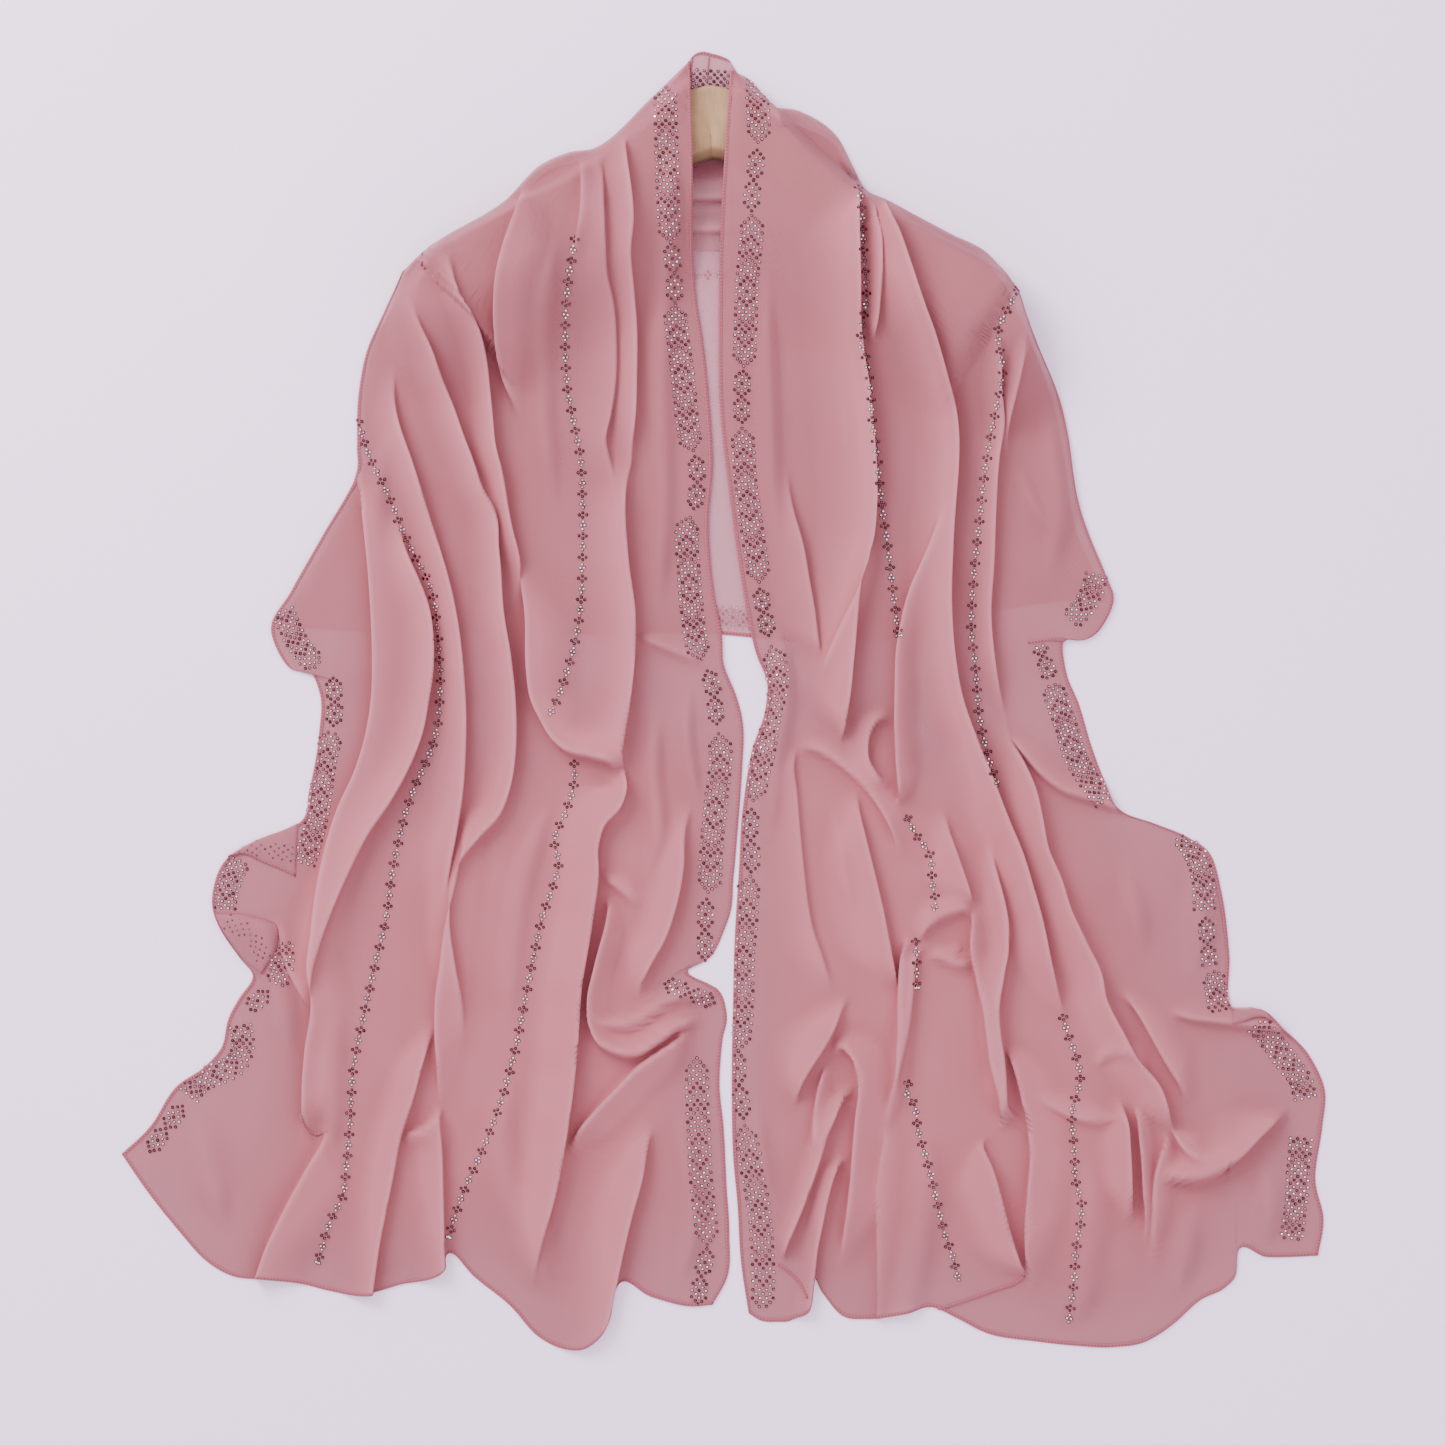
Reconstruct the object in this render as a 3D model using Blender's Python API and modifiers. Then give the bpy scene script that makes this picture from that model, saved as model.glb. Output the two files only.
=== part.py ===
# Chiffon scarf laid flat over a wooden hanger, one solid for each stretch of cloth that shows.
# Metres, +Z up, the scarf lies on the plane z = 0 and +Y points to the neck.

import bpy
import bmesh
import numpy as np

MM = 0.001

# Driving sizes in millimetres
CLOTH_WALL = 1.2
SEAM_GAP = 0.3
PANEL_COLUMNS = 37
PANEL_ROWS = 49
BACK_COLUMNS = 21
BACK_ROWS = 17
EDGE_FADE = 0.24
STEEPEST_SIDE = 8.5
NECK_PLEAT_SIDE = 5.0
HANGER_STEPS = 27
HANGER_CORNER = 0.35
HANGER_CLEARANCE = 2.2
UPPER_FALL = 11.0
LOWER_FALL = 82.0
PATH_SAMPLES = 60
EDGE_SETBACK = 0.42
FLOOR_EASE_FROM = 24.0
FLOOR_EASE_TO = 52.0

# Wooden hanger, a row for each section: x, y, half depth in plan, underside z, top z
HANGER_SECTIONS = (
    (-204, 293, 7, 16, 28),
    (-199, 297, 13, 13, 33),
    (-180, 308, 14, 11.5, 33),
    (-142, 330, 14, 8, 29),
    (-98, 354, 14, 4.5, 23),
    (-60, 378, 15, 2.4, 18.5),
    (-36, 394, 18, 1.7, 16.5),
    (-20, 406, 22, 1.6, 15),
    (-10, 412, 24, 1.6, 13),
    (0, 409, 22, 1.6, 15),
    (20, 396, 18, 1.8, 16.5),
    (50, 372, 15, 2.8, 18.5),
    (100, 333, 14, 5, 24),
    (150, 305, 14, 9, 30),
    (178, 290, 14, 11.5, 33),
    (192, 281, 13, 13, 33),
    (199, 277, 9, 15, 29),
)

# Sides of each panel. A row holds how far along the side it is, then x and y
LEFT_TOP = (
    (0, -24, 453), (0.13, -50, 428), (0.32, -92, 391), (0.40, -110, 388), (0.49, -130, 379),
    (0.62, -155, 354), (0.82, -200, 327), (0.91, -215, 316), (1, -228, 303),
)
LEFT_TOP_EASY = ((0, -24, 453), (0.5, -128, 378), (1, -228, 303))
LEFT_NECK_EDGE = (
    (0, -24, 453), (0.08, -22, 380), (0.14, -22, 330), (0.19, -20, 288), (0.235, -14, 246),
    (0.28, -10, 204), (0.32, -8, 170), (0.38, -11, 120), (0.43, -7, 75), (0.465, -1, 43),
    (0.485, 0, 25), (0.51, 9, 2), (0.54, 14, -21), (0.57, 13, -50), (0.62, 10, -92), (0.66, 7, -126),
    (0.70, 2, -160), (0.72, -10, -184), (0.735, -26, -194), (0.75, -4, -206), (0.765, 2, -222),
    (0.79, -1, -243), (0.82, -3, -272), (0.86, 0, -305), (0.90, 2, -345), (0.945, 4, -380),
    (0.98, 2, -412), (1, -8, -430),
)
LEFT_NECK_EASY = (
    (0, -24, 453), (0.2, -18, 280), (0.4, -8, 100), (0.57, 8, -50), (0.75, 2, -210), (1, -8, -430),
)
LEFT_OUTER_EDGE = (
    (0, -228, 303), (0.06, -240, 276), (0.11, -253, 247), (0.16, -259, 215), (0.22, -260, 180),
    (0.26, -261, 158), (0.31, -285, 115), (0.36, -307, 76), (0.40, -321, 48), (0.43, -308, 22),
    (0.455, -292, 18), (0.47, -287, 6), (0.51, -287, -25), (0.56, -294, -65), (0.60, -301, -88),
    (0.63, -328, -99), (0.66, -351, -112), (0.69, -361, -130), (0.71, -363, -146),
    (0.735, -357, -164), (0.76, -344, -183), (0.785, -334, -197), (0.81, -344, -213),
    (0.835, -352, -229), (0.855, -356, -247), (0.875, -368, -261), (0.90, -387, -274),
    (0.94, -405, -301), (1, -427, -323),
)
LEFT_OUTER_EASY = (
    (0, -228, 303), (0.15, -256, 215), (0.3, -270, 120), (0.45, -284, 20), (0.6, -300, -90),
    (0.75, -337, -184), (0.88, -368, -262), (1, -427, -323),
)
LEFT_HEM = (
    (0, -8, -430), (0.04, -24, -431), (0.10, -52, -424), (0.155, -74, -415), (0.175, -79, -426),
    (0.20, -87, -446), (0.23, -98, -459), (0.27, -114, -461), (0.31, -132, -452),
    (0.36, -152, -430), (0.41, -177, -410), (0.45, -195, -393), (0.475, -202, -406),
    (0.54, -231, -416), (0.60, -257, -423), (0.66, -280, -420), (0.71, -300, -415),
    (0.77, -329, -412), (0.82, -350, -409), (0.86, -367, -399), (0.91, -387, -377), (0.96, -410, -348),
    (1, -427, -323),
)
LEFT_HEM_EASY = (
    (0, -8, -430), (0.2, -90, -436), (0.4, -180, -415), (0.6, -262, -418), (0.8, -345, -402),
    (1, -427, -323),
)
RIGHT_TOP = (
    (0, 5, 446), (0.06, 18, 440), (0.13, 33, 422), (0.21, 52, 418), (0.34, 80, 400),
    (0.43, 92, 378), (0.50, 101, 362), (0.60, 124, 350), (0.76, 160, 331), (0.89, 188, 316),
    (1, 207, 292),
)
RIGHT_TOP_EASY = ((0, 5, 446), (0.5, 100, 372), (1, 207, 292))
RIGHT_NECK_EDGE = (
    (0, 5, 446), (0.06, 1, 386), (0.13, -2, 329), (0.19, -3, 277), (0.27, -2, 204),
    (0.33, 4, 149), (0.38, 10, 104), (0.43, 17, 61), (0.47, 24, 30), (0.49, 31, 12),
    (0.51, 30, -6), (0.55, 20, -38), (0.59, 14, -76), (0.65, 11, -123), (0.70, 8, -172),
    (0.75, 7, -213), (0.83, 6, -280), (0.88, 7, -325), (0.92, 10, -358), (0.97, 13, -404),
    (1, 18, -436),
)
RIGHT_NECK_EASY = (
    (0, 5, 446), (0.2, -2, 265), (0.4, 11, 95), (0.55, 19, -38), (0.75, 7, -215), (1, 18, -436),
)
RIGHT_OUTER_EDGE = (
    (0, 207, 292), (0.03, 214, 270), (0.07, 222, 250), (0.11, 236, 220), (0.16, 244, 190),
    (0.22, 251, 144), (0.27, 260, 115), (0.31, 272, 86), (0.33, 277, 71), (0.355, 267, 49),
    (0.375, 257, 42), (0.40, 241, 40), (0.42, 243, 20), (0.45, 252, -3), (0.49, 261, -33),
    (0.53, 271, -59), (0.56, 282, -79), (0.59, 305, -88), (0.63, 331, -99), (0.66, 346, -111),
    (0.69, 354, -140), (0.73, 359, -182), (0.765, 361, -219), (0.79, 382, -220),
    (0.82, 400, -236), (0.85, 417, -255), (0.87, 426.2, -275), (0.90, 425, -304), (0.93, 420, -340),
    (0.96, 425.7, -367), (1, 422, -395),
)
RIGHT_OUTER_EASY = (
    (0, 207, 292), (0.2, 246, 170), (0.4, 256, 58), (0.55, 284, -58), (0.7, 338, -150),
    (0.85, 396, -262), (1, 422, -395),
)
RIGHT_HEM = (
    (0, 18, -436), (0.03, 26, -441), (0.07, 37, -442), (0.11, 50, -440), (0.14, 60, -429),
    (0.155, 63, -411), (0.18, 70, -421), (0.21, 82, -436), (0.26, 102, -440), (0.33, 130, -436),
    (0.38, 150, -432), (0.41, 165, -439), (0.47, 190, -451), (0.53, 222, -456), (0.60, 250, -459),
    (0.66, 277, -460), (0.71, 300, -456), (0.75, 319, -444), (0.79, 338, -427), (0.83, 357, -417),
    (0.85, 364, -408), (0.865, 365, -393), (0.91, 385, -396), (0.95, 402, -396), (1, 422, -395),
)
RIGHT_HEM_EASY = (
    (0, 18, -436), (0.2, 90, -437), (0.4, 165, -441), (0.6, 250, -453), (0.8, 340, -428),
    (1, 422, -395),
)
BACK_LEFT_EDGE = (
    (0, -26, 450), (0.10, -60, 408), (0.17, -96, 384), (0.23, -125, 375), (0.30, -150, 350),
    (0.39, -196, 323), (0.45, -218, 303), (0.53, -243, 262), (0.60, -254, 224), (0.72, -255, 162),
    (0.84, -278, 115), (0.94, -303, 72), (1, -315, 52),
)
BACK_RIGHT_EDGE = (
    (0, 8, 444), (0.09, 34, 415), (0.18, 76, 396), (0.27, 96, 362), (0.36, 134, 341),
    (0.46, 184, 314), (0.54, 208, 277), (0.62, 231, 220), (0.72, 241, 174), (0.84, 250, 120),
    (0.93, 264, 88), (1, 271, 72),
)
BACK_NECK = ((0, -26, 450), (0.3, -17, 460), (0.72, 0, 457), (1, 8, 444))
BACK_HEM = (
    (0, -315, 52), (0.12, -250, 48), (0.3, -140, 46), (0.53, -2, 46), (0.57, 19, 44),
    (0.70, 100, 40), (0.80, 160, 52), (0.88, 205, 65), (1, 271, 72),
)

# Folds, a row for each: the hand on which it falls steeply as its path runs (1 left, -1 right,
# 0 neither), its height, the reach of its easy side, the lengths over which it comes and goes
# (0 stays open), then the points of its edge
LEFT_FOLDS = (
    (1, 9, 16, 25, 60, ((-72, 404), (-66, 370), (-63, 340), (-65, 315), (-63, 290), (-61, 262),
                        (-61, 230), (-62, 200), (-67, 165), (-69, 140))),
    (1, 11, 32, 60, 12, ((-64, 190), (-69, 150), (-67, 100), (-62, 60), (-62, 35), (-66, -5), (-71, -40),
                         (-71, -52))),
    (1, 6, 24, 40, 60, ((-92, 390), (-86, 370), (-84, 345), (-83, 320), (-82, 300), (-78, 280),
                        (-76, 250), (-77, 220), (-80, 200), (-83, 186), (-80, 165), (-76, 130))),
    (-1, 7, 12, 15, 40, ((-101, 386), (-101, 360), (-102, 345), (-104, 328), (-106, 300))),
    (-1, 14, 32, 25, 60, ((-139, 368), (-148, 340), (-155, 320), (-160, 300), (-162, 280), (-162, 260),
                          (-160, 240), (-156, 225), (-148, 210), (-138, 190))),
    (1, 11, 14, 15, 60, ((-197, 318), (-191, 300), (-185, 285), (-176, 270), (-171, 258), (-167, 240),
                         (-165, 220), (-163, 200), (-161, 180), (-156, 160), (-150, 125), (-144, 97),
                         (-147, 60))),
    (1, 11, 18, 20, 60, ((-227, 300), (-222, 280), (-215, 265), (-205, 245), (-198, 225), (-190, 205),
                         (-183, 185), (-178, 172), (-170, 150), (-163, 135), (-158, 100), (-155, 60),
                         (-150, 30), (-147, 0), (-147, -40), (-150, -60), (-158, -82), (-172, -98),
                         (-185, -120), (-190, -160), (-187, -190), (-184, -215), (-186, -250))),
    (1, 10, 20, 50, 50, ((-236, 240), (-232, 205), (-219, 165), (-204, 118), (-191, 72), (-184, 25),
                         (-182, -30), (-187, -85), (-197, -125), (-206, -160))),
    (-1, 9, 24, 60, 40, ((-178, -70), (-185, -95), (-195, -130), (-202, -165), (-204, -200),
                         (-205, -235), (-203, -265), (-200, -292))),
    (1, 12, 24, 50, 40, ((-236, 140), (-226, 110), (-207, 60), (-205, 20), (-208, 0), (-213, -25),
                         (-222, -48), (-235, -72), (-250, -95), (-262, -120), (-274, -150), (-282, -175),
                         (-288, -200), (-290, -228))),
    (-1, 11, 26, 30, 25, ((-259, 165), (-256, 130), (-252, 90), (-250, 60), (-249, 20), (-250, 0),
                          (-255, -30), (-262, -52), (-275, -80), (-285, -110), (-292, -140),
                          (-296, -165), (-299, -190), (-293, -218), (-297, -250), (-299, -280),
                          (-298, -300), (-290, -314))),
    (-1, 12, 34, 40, 14, ((-146, 100), (-141, 60), (-140, 20), (-137, 0), (-130, -15), (-122, -28),
                          (-112, -36), (-96, -40), (-82, -44), (-70, -50))),
    (1, 12, 30, 10, 50, ((-72, -46), (-68, -62), (-72, -76), (-84, -90), (-88, -105), (-88, -125),
                         (-91, -150), (-95, -175), (-100, -205), (-102, -235), (-105, -270),
                         (-109, -300), (-113, -325), (-118, -350), (-124, -372), (-131, -395),
                         (-138, -424))),
    (1, 9, 22, 40, 20, ((-23, -70), (-27, -92), (-28, -120), (-34, -150), (-41, -170), (-50, -186),
                        (-57, -200), (-62, -214))),
    (-1, 11, 12, 15, 25, ((-80, -140), (-84, -160), (-92, -190), (-97, -215), (-96, -230), (-90, -243),
                          (-78, -250), (-62, -252), (-45, -243), (-30, -232), (-14, -222))),
    (-1, 9, 22, 15, 20, ((-22, -234), (-30, -240), (-45, -250), (-62, -262), (-78, -278), (-92, -293),
                         (-104, -308), (-111, -324))),
    (1, 9, 30, 25, 0, ((-50, -298), (-53, -315), (-57, -340), (-64, -365), (-70, -390), (-76, -418))),
    (-1, 10, 34, 12, 0, ((-279, -303), (-285, -315), (-295, -332), (-305, -350), (-318, -375),
                         (-325, -390), (-332, -410))),
    (1, 9, 20, 40, 0, ((-205, -225), (-212, -255), (-220, -285), (-228, -310), (-233, -335),
                       (-238, -360), (-243, -385), (-247, -412))),
    (1, 6, 20, 10, 6, ((-230, -313), (-215, -305), (-207, -297), (-199, -291))),
    (1, 9, 18, 8, 0, ((-200, -290), (-199, -320), (-198, -360), (-197, -404))),
    (0, 6, 20, 50, 30, ((-150, -262), (-158, -310), (-152, -350), (-134, -392), (-118, -425))),
    (0, 6, 17, 40, 30, ((-374, -295), (-364, -335), (-352, -380))),
)
RIGHT_FOLDS = (
    (1, 12, 38, 45, 14, ((96, 364), (96, 340), (97, 300), (98, 262), (100, 245), (104, 221), (107, 190),
                         (109, 160), (109, 138), (107, 115), (103, 98), (100, 80), (96, 55), (93, 32),
                         (91, 10), (89, -6), (86, -20), (81, -31))),
    (-1, 7, 12, 14, 20, ((106, 112), (97, 96), (90, 78), (82, 60), (76, 46), (69, 28), (65, 12))),
    (1, 7, 24, 60, 12, ((42, 175), (48, 140), (57, 108), (61, 85), (64, 65), (66, 45), (68, 27))),
    (1, 7, 7, 40, 10, ((105, 354), (109, 330), (111, 305), (111, 285), (109, 266), (105, 251))),
    (1, 13, 26, 14, 50, ((110, 357), (124, 330), (132, 307), (140, 283), (150, 256), (158, 230),
                         (165, 205), (167, 188), (167, 170), (165, 140), (163, 107), (162, 70),
                         (164, 35), (169, 5), (175, -15), (182, -33), (192, -58), (202, -84),
                         (212, -110), (220, -135), (227, -160), (233, -188), (238, -212), (242, -232))),
    (-1, 10, 14, 50, 8, ((157, 152), (147, 122), (138, 97), (131, 78), (126, 58), (122, 35), (121, 5),
                         (121, -30), (123, -58), (125, -75))),
    (1, 8, 12, 12, 50, ((193, 263), (196, 240), (197, 215), (198, 193), (195, 164), (193, 126),
                        (192, 97), (190, 58), (193, 25), (197, 0), (202, -24))),
    (1, 10, 26, 50, 14, ((197, -8), (205, -32), (213, -45), (221, -62), (226, -82), (231, -107),
                         (240, -128), (247, -150), (258, -173), (268, -194), (272, -213), (284, -237),
                         (297, -258), (311, -277), (316, -292), (319, -309))),
    (1, 8, 11, 12, 30, ((215, 266), (213, 245), (210, 228), (206, 210), (202, 192), (198, 170))),
    (-1, 7, 16, 12, 25, ((52, -30), (62, -34), (75, -41), (90, -53), (103, -67), (113, -82), (121, -98),
                         (126, -114))),
    (1, 7, 14, 10, 8, ((119, -8), (110, -15), (104, -27), (103, -40), (109, -52), (118, -63))),
    (1, 9, 32, 25, 12, ((86, -208), (82, -226), (77, -238), (70, -250), (62, -262), (56, -273),
                        (49, -288))),
    (-1, 10, 26, 8, 40, ((76, -245), (83, -247), (90, -254), (94, -266), (95, -280), (93, -297),
                         (91, -320), (89, -345), (86, -370), (84, -390), (82, -408))),
    (-1, 7, 9, 8, 10, ((73, -260), (67, -275), (64, -292), (62, -308), (60, -324))),
    (1, 8, 9, 10, 12, ((90, -275), (84, -287), (77, -303), (71, -320), (66, -335), (60, -352),
                       (52, -372), (46, -386), (40, -400))),
    (1, 7, 9, 10, 0, ((86, -323), (79, -338), (75, -352), (71, -370), (67, -390), (65, -408))),
    (-1, 8, 9, 12, 40, ((132, -167), (126, -180), (124, -192), (123, -210), (122, -235), (120, -260),
                        (118, -285), (115, -312))),
    (1, 6, 8, 12, 30, ((138, -174), (136, -200), (133, -235), (128, -262), (123, -295))),
    (1, 8, 36, 30, 12, ((91, -62), (99, -90), (104, -110), (109, -130), (113, -147), (117, -167),
                        (121, -188), (124, -206))),
    (1, 8, 28, 30, 6, ((152, -76), (160, -94), (168, -115), (174, -133), (178, -146))),
    (1, 7, 16, 8, 12, ((178, -146), (166, -150), (154, -155), (144, -163), (136, -173))),
    (1, 6, 16, 8, 8, ((178, -186), (168, -189), (158, -186), (146, -178))),
    (-1, 9, 11, 12, 10, ((178, -148), (175, -165), (175, -182), (178, -196), (181, -214), (184, -238),
                         (187, -260), (191, -279), (195, -294), (196, -306))),
    (1, 10, 12, 50, 12, ((183, -88), (192, -120), (198, -140), (202, -160), (202, -180), (199, -197),
                         (197, -215), (198, -235), (201, -256), (203, -275), (205, -299))),
    (-1, 8, 28, 14, 40, ((200, -246), (206, -264), (211, -284), (215, -303), (217, -325), (215, -350),
                         (213, -380), (215, -402), (219, -424))),
    (1, 9, 32, 8, 0, ((181, -312), (190, -330), (197, -352), (203, -375), (208, -392), (214, -410))),
    (-1, 8, 20, 30, 20, ((281, -202), (292, -220), (302, -238), (312, -256), (322, -272), (333, -288))),
    (-1, 9, 20, 6, 14, ((317, -304), (322, -314), (328, -321), (337, -325), (349, -324))),
    (1, 10, 32, 15, 12, ((401, -289), (392, -299), (380, -311), (366, -325), (350, -335), (334, -340),
                         (320, -340), (308, -336))),
    (-1, 7, 14, 12, 50, ((317, -306), (310, -322), (306, -338), (305, -358), (304, -380), (301, -410))),
    (-1, 9, 9, 14, 30, ((291, -286), (294, -308), (296, -330), (297, -350), (299, -370), (300, -392))),
    (1, 8, 22, 16, 20, ((279, -282), (287, -300), (289, -320), (290, -345), (290, -374))),
    (-1, 6, 12, 10, 10, ((260, -260), (275, -252), (288, -254), (302, -265))),
    (-1, 6, 18, 15, 6, ((200, -22), (212, -38), (226, -54), (240, -64), (258, -70), (283, -79))),
    (-1, 6, 16, 12, 0, ((314, -220), (330, -226), (345, -228), (362, -230))),
    (0, 6, 18, 60, 60, ((228, 215), (234, 170), (238, 130), (230, 80))),
    (0, 6, 18, 40, 0, ((142, -300), (144, -350), (138, -390), (128, -440))),
    (0, 6, 17, 40, 40, ((330, -105), (338, -150), (332, -205))),
    (0, 6, 18, 30, 30, ((384, -325), (388, -352), (384, -392))),
    (0, 6, 18, 50, 30, ((258, -318), (262, -360), (258, -400), (250, -450))),
    (0, 6, 16, 40, 40, ((338, -350), (330, -380), (322, -430))),
)
# Stretch of the back that shows below the hanger's head, with its two pleats
NECK_SLIP_X = (-27, 5)
NECK_SLIP_Y = (374, 318)
NECK_SLIP_GRID = (5, 17)
NECK_PLEATS = (
    (1, 4.5, 10, 0, 0, ((-60, 356), (-11, 355.5), (40, 354.5))),
    (-1, 4, 10, 0, 0, ((-60, 335), (-11, 333.5), (40, 331.5))),
)


def curve_at(rows, along):
    """Smooth curve through rows of (how far along, value, ...) read at the given places."""
    rows = np.array(rows, dtype=float)
    stations = rows[:, 0]
    values = rows[:, 1:]
    slopes = np.gradient(values, stations, axis=0)
    along = np.clip(np.asarray(along, dtype=float), stations[0], stations[-1])
    cell = np.clip(np.searchsorted(stations, along, side="right") - 1, 0, len(stations) - 2)
    width = (stations[cell + 1] - stations[cell])[..., None]
    t = (along - stations[cell])[..., None] / width
    start = (2 * t**3 - 3 * t**2 + 1) * values[cell]
    start_slope = (t**3 - 2 * t**2 + t) * width * slopes[cell]
    end = (3 * t**2 - 2 * t**3) * values[cell + 1]
    end_slope = (t**3 - t**2) * width * slopes[cell + 1]
    return start + start_slope + end + end_slope


def ease(value):
    """Rises smoothly from 0 to 1."""
    value = np.clip(value, 0.0, 1.0)
    return value * value * (3 - 2 * value)


def path_samples(points, count):
    """Points spread evenly along a smooth path, with each one's direction."""
    points = np.array(points, dtype=float)
    steps = np.hypot(*np.diff(points[:, :2], axis=0).T)
    stations = np.concatenate(([0.0], np.cumsum(steps)))
    rows = np.column_stack((stations, points))
    samples = curve_at(rows, np.linspace(0, stations[-1], count))
    directions = np.gradient(samples[:, :2], axis=0)
    directions /= np.hypot(*directions.T)[:, None]
    return samples, directions


def nearest_on_path(x, y, samples, directions):
    """Index of the nearest sample, place from 0 to 1, distance, and signed distance to the left."""
    dx = x[..., None] - samples[:, 0]
    dy = y[..., None] - samples[:, 1]
    nearest = np.argmin(dx * dx + dy * dy, axis=-1)
    rows, columns = np.indices(x.shape)
    dx = dx[rows, columns, nearest]
    dy = dy[rows, columns, nearest]
    forward = directions[nearest, 0] * dx + directions[nearest, 1] * dy
    left = directions[nearest, 0] * dy - directions[nearest, 1] * dx
    spacing = np.hypot(*(samples[1, :2] - samples[0, :2]))
    place = (nearest + np.clip(forward / spacing, -0.5, 0.5)) / (len(samples) - 1)
    return nearest, place, np.hypot(dx, dy), left


def fold_height(x, y, fold, steepest):
    """Height that one fold adds: a rounded ridge that stands behind its edge."""
    hand, height, easy_side, fade_in, fade_out, points = fold
    samples, directions = path_samples(points, PATH_SAMPLES)
    nearest, place, distance, left = nearest_on_path(x, y, samples, directions)
    length = np.hypot(*np.diff(samples[:, :2], axis=0).T).sum()
    fade = np.ones(x.shape)
    if fade_in:
        fade *= ease(place * length / fade_in)
    if fade_out:
        fade *= ease((1 - place) * length / fade_out)
    easy = easy_side * (0.5 + 0.5 * fade)
    if hand:
        from_ridge = left * hand + EDGE_SETBACK * height * fade
    else:
        from_ridge = -np.abs(left)
    reach = np.where(from_ridge > 0, steepest, np.maximum(easy, steepest))
    profile = 0.5 + 0.5 * np.cos(np.pi * np.clip(np.abs(from_ridge) / reach, 0, 1))
    return height * profile * fade


def folded_height(x, y, folds, steepest):
    """Height of all folds together, where the taller of two close ones rules."""
    return np.sqrt(sum(fold_height(x, y, fold, steepest) ** 2 for fold in folds))


def arm_height(x, y):
    """Height at which cloth clears the hanger, falling away from its arms."""
    samples, directions = path_samples(HANGER_SECTIONS, 3 * PATH_SAMPLES)
    nearest, place, distance, left = nearest_on_path(x, y, samples, directions)
    half = samples[nearest, 2]
    top = samples[nearest, 4] + HANGER_CLEARANCE
    past = np.clip(distance - half - HANGER_CLEARANCE, 0, None)
    above = ease((left / np.maximum(distance, MM) + 1) / 2)
    fall = LOWER_FALL + (UPPER_FALL - LOWER_FALL) * above
    return top * (1 - ease(past / fall))


def rest_height(x, y):
    """Height of what a front panel lies on: the back panel, or the floor below its hem."""
    hem = np.array(BACK_HEM)
    edge = np.interp(x, hem[:, 1], hem[:, 2])
    below = edge - y
    on_back = 1 - ease((below - FLOOR_EASE_FROM) / (FLOOR_EASE_TO - FLOOR_EASE_FROM))
    return (CLOTH_WALL + SEAM_GAP) * on_back


def corner_patch(u, v, top, bottom, start, end):
    """Plan of a panel, blended between its four sides."""
    across = u[None, :, None]
    down = v[:, None, None]
    upper = curve_at(top, u)[None]
    lower = curve_at(bottom, u)[None]
    left = curve_at(start, v)[:, None]
    right = curve_at(end, v)[:, None]
    blend = (1 - across) * left + across * right + (1 - down) * upper + down * lower
    blend -= (1 - down) * ((1 - across) * upper[:, :1] + across * upper[:, -1:])
    blend -= down * ((1 - across) * lower[:, :1] + across * lower[:, -1:])
    return blend


def side_wave(curve, easy, along):
    """How far the real edge stands from the easy curve through it."""
    return curve_at(curve, along) - curve_at(easy, along)


def panel_plan(columns, rows, top, bottom, start, end):
    """Plan of a front panel: an easy patch, with each edge's own waves near that edge."""
    u = np.linspace(0, 1, columns)
    v = np.linspace(0, 1, rows)
    plan = corner_patch(u, v, top[1], bottom[1], start[1], end[1])
    near_top = 1 - ease(v / EDGE_FADE)
    near_bottom = 1 - ease((1 - v) / EDGE_FADE)
    near_start = 1 - ease(u / EDGE_FADE)
    near_end = 1 - ease((1 - u) / EDGE_FADE)
    plan += near_top[:, None, None] * side_wave(top[0], top[1], u)[None]
    plan += near_bottom[:, None, None] * side_wave(bottom[0], bottom[1], u)[None]
    plan += near_start[None, :, None] * side_wave(start[0], start[1], v)[:, None]
    plan += near_end[None, :, None] * side_wave(end[0], end[1], v)[:, None]
    return plan


def cloth_material(name, colour):
    """Plain woven cloth."""
    material = bpy.data.materials.new(name)
    material.use_nodes = True
    shader = material.node_tree.nodes["Principled BSDF"]
    shader.inputs["Base Color"].default_value = (*colour, 1.0)
    shader.inputs["Roughness"].default_value = 0.7
    shader.inputs["Metallic"].default_value = 0.0
    return material


def wood_material():
    """Pale waxed beech."""
    material = bpy.data.materials.new("beech")
    material.use_nodes = True
    shader = material.node_tree.nodes["Principled BSDF"]
    shader.inputs["Base Color"].default_value = (0.52, 0.38, 0.23, 1.0)
    shader.inputs["Roughness"].default_value = 0.45
    shader.inputs["Metallic"].default_value = 0.0
    return material


def sheet_object(name, plan, height, material, collection):
    """Open grid in the given plan and height, made a wall by a Solidify modifier."""
    rows, columns = height.shape
    mesh = bpy.data.meshes.new(name)
    grid = bmesh.new()
    bmesh.ops.create_grid(grid, x_segments=columns - 1, y_segments=rows - 1, size=1.0)
    grid.verts.ensure_lookup_table()
    for vertex in grid.verts:
        column = round((vertex.co.x + 1) / 2 * (columns - 1))
        row = round((1 - vertex.co.y) / 2 * (rows - 1))
        x, y = plan[row, column]
        vertex.co = (x * MM, y * MM, height[row, column] * MM)
    bmesh.ops.recalc_face_normals(grid, faces=grid.faces)
    if sum(face.normal.z for face in grid.faces) < 0:
        bmesh.ops.reverse_faces(grid, faces=grid.faces)
    grid.to_mesh(mesh)
    grid.free()
    mesh.materials.append(material)
    sheet = bpy.data.objects.new(name, mesh)
    collection.objects.link(sheet)
    wall = sheet.modifiers.new("wall", "SOLIDIFY")
    wall.thickness = CLOTH_WALL * MM
    wall.offset = 1.0
    return sheet


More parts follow.
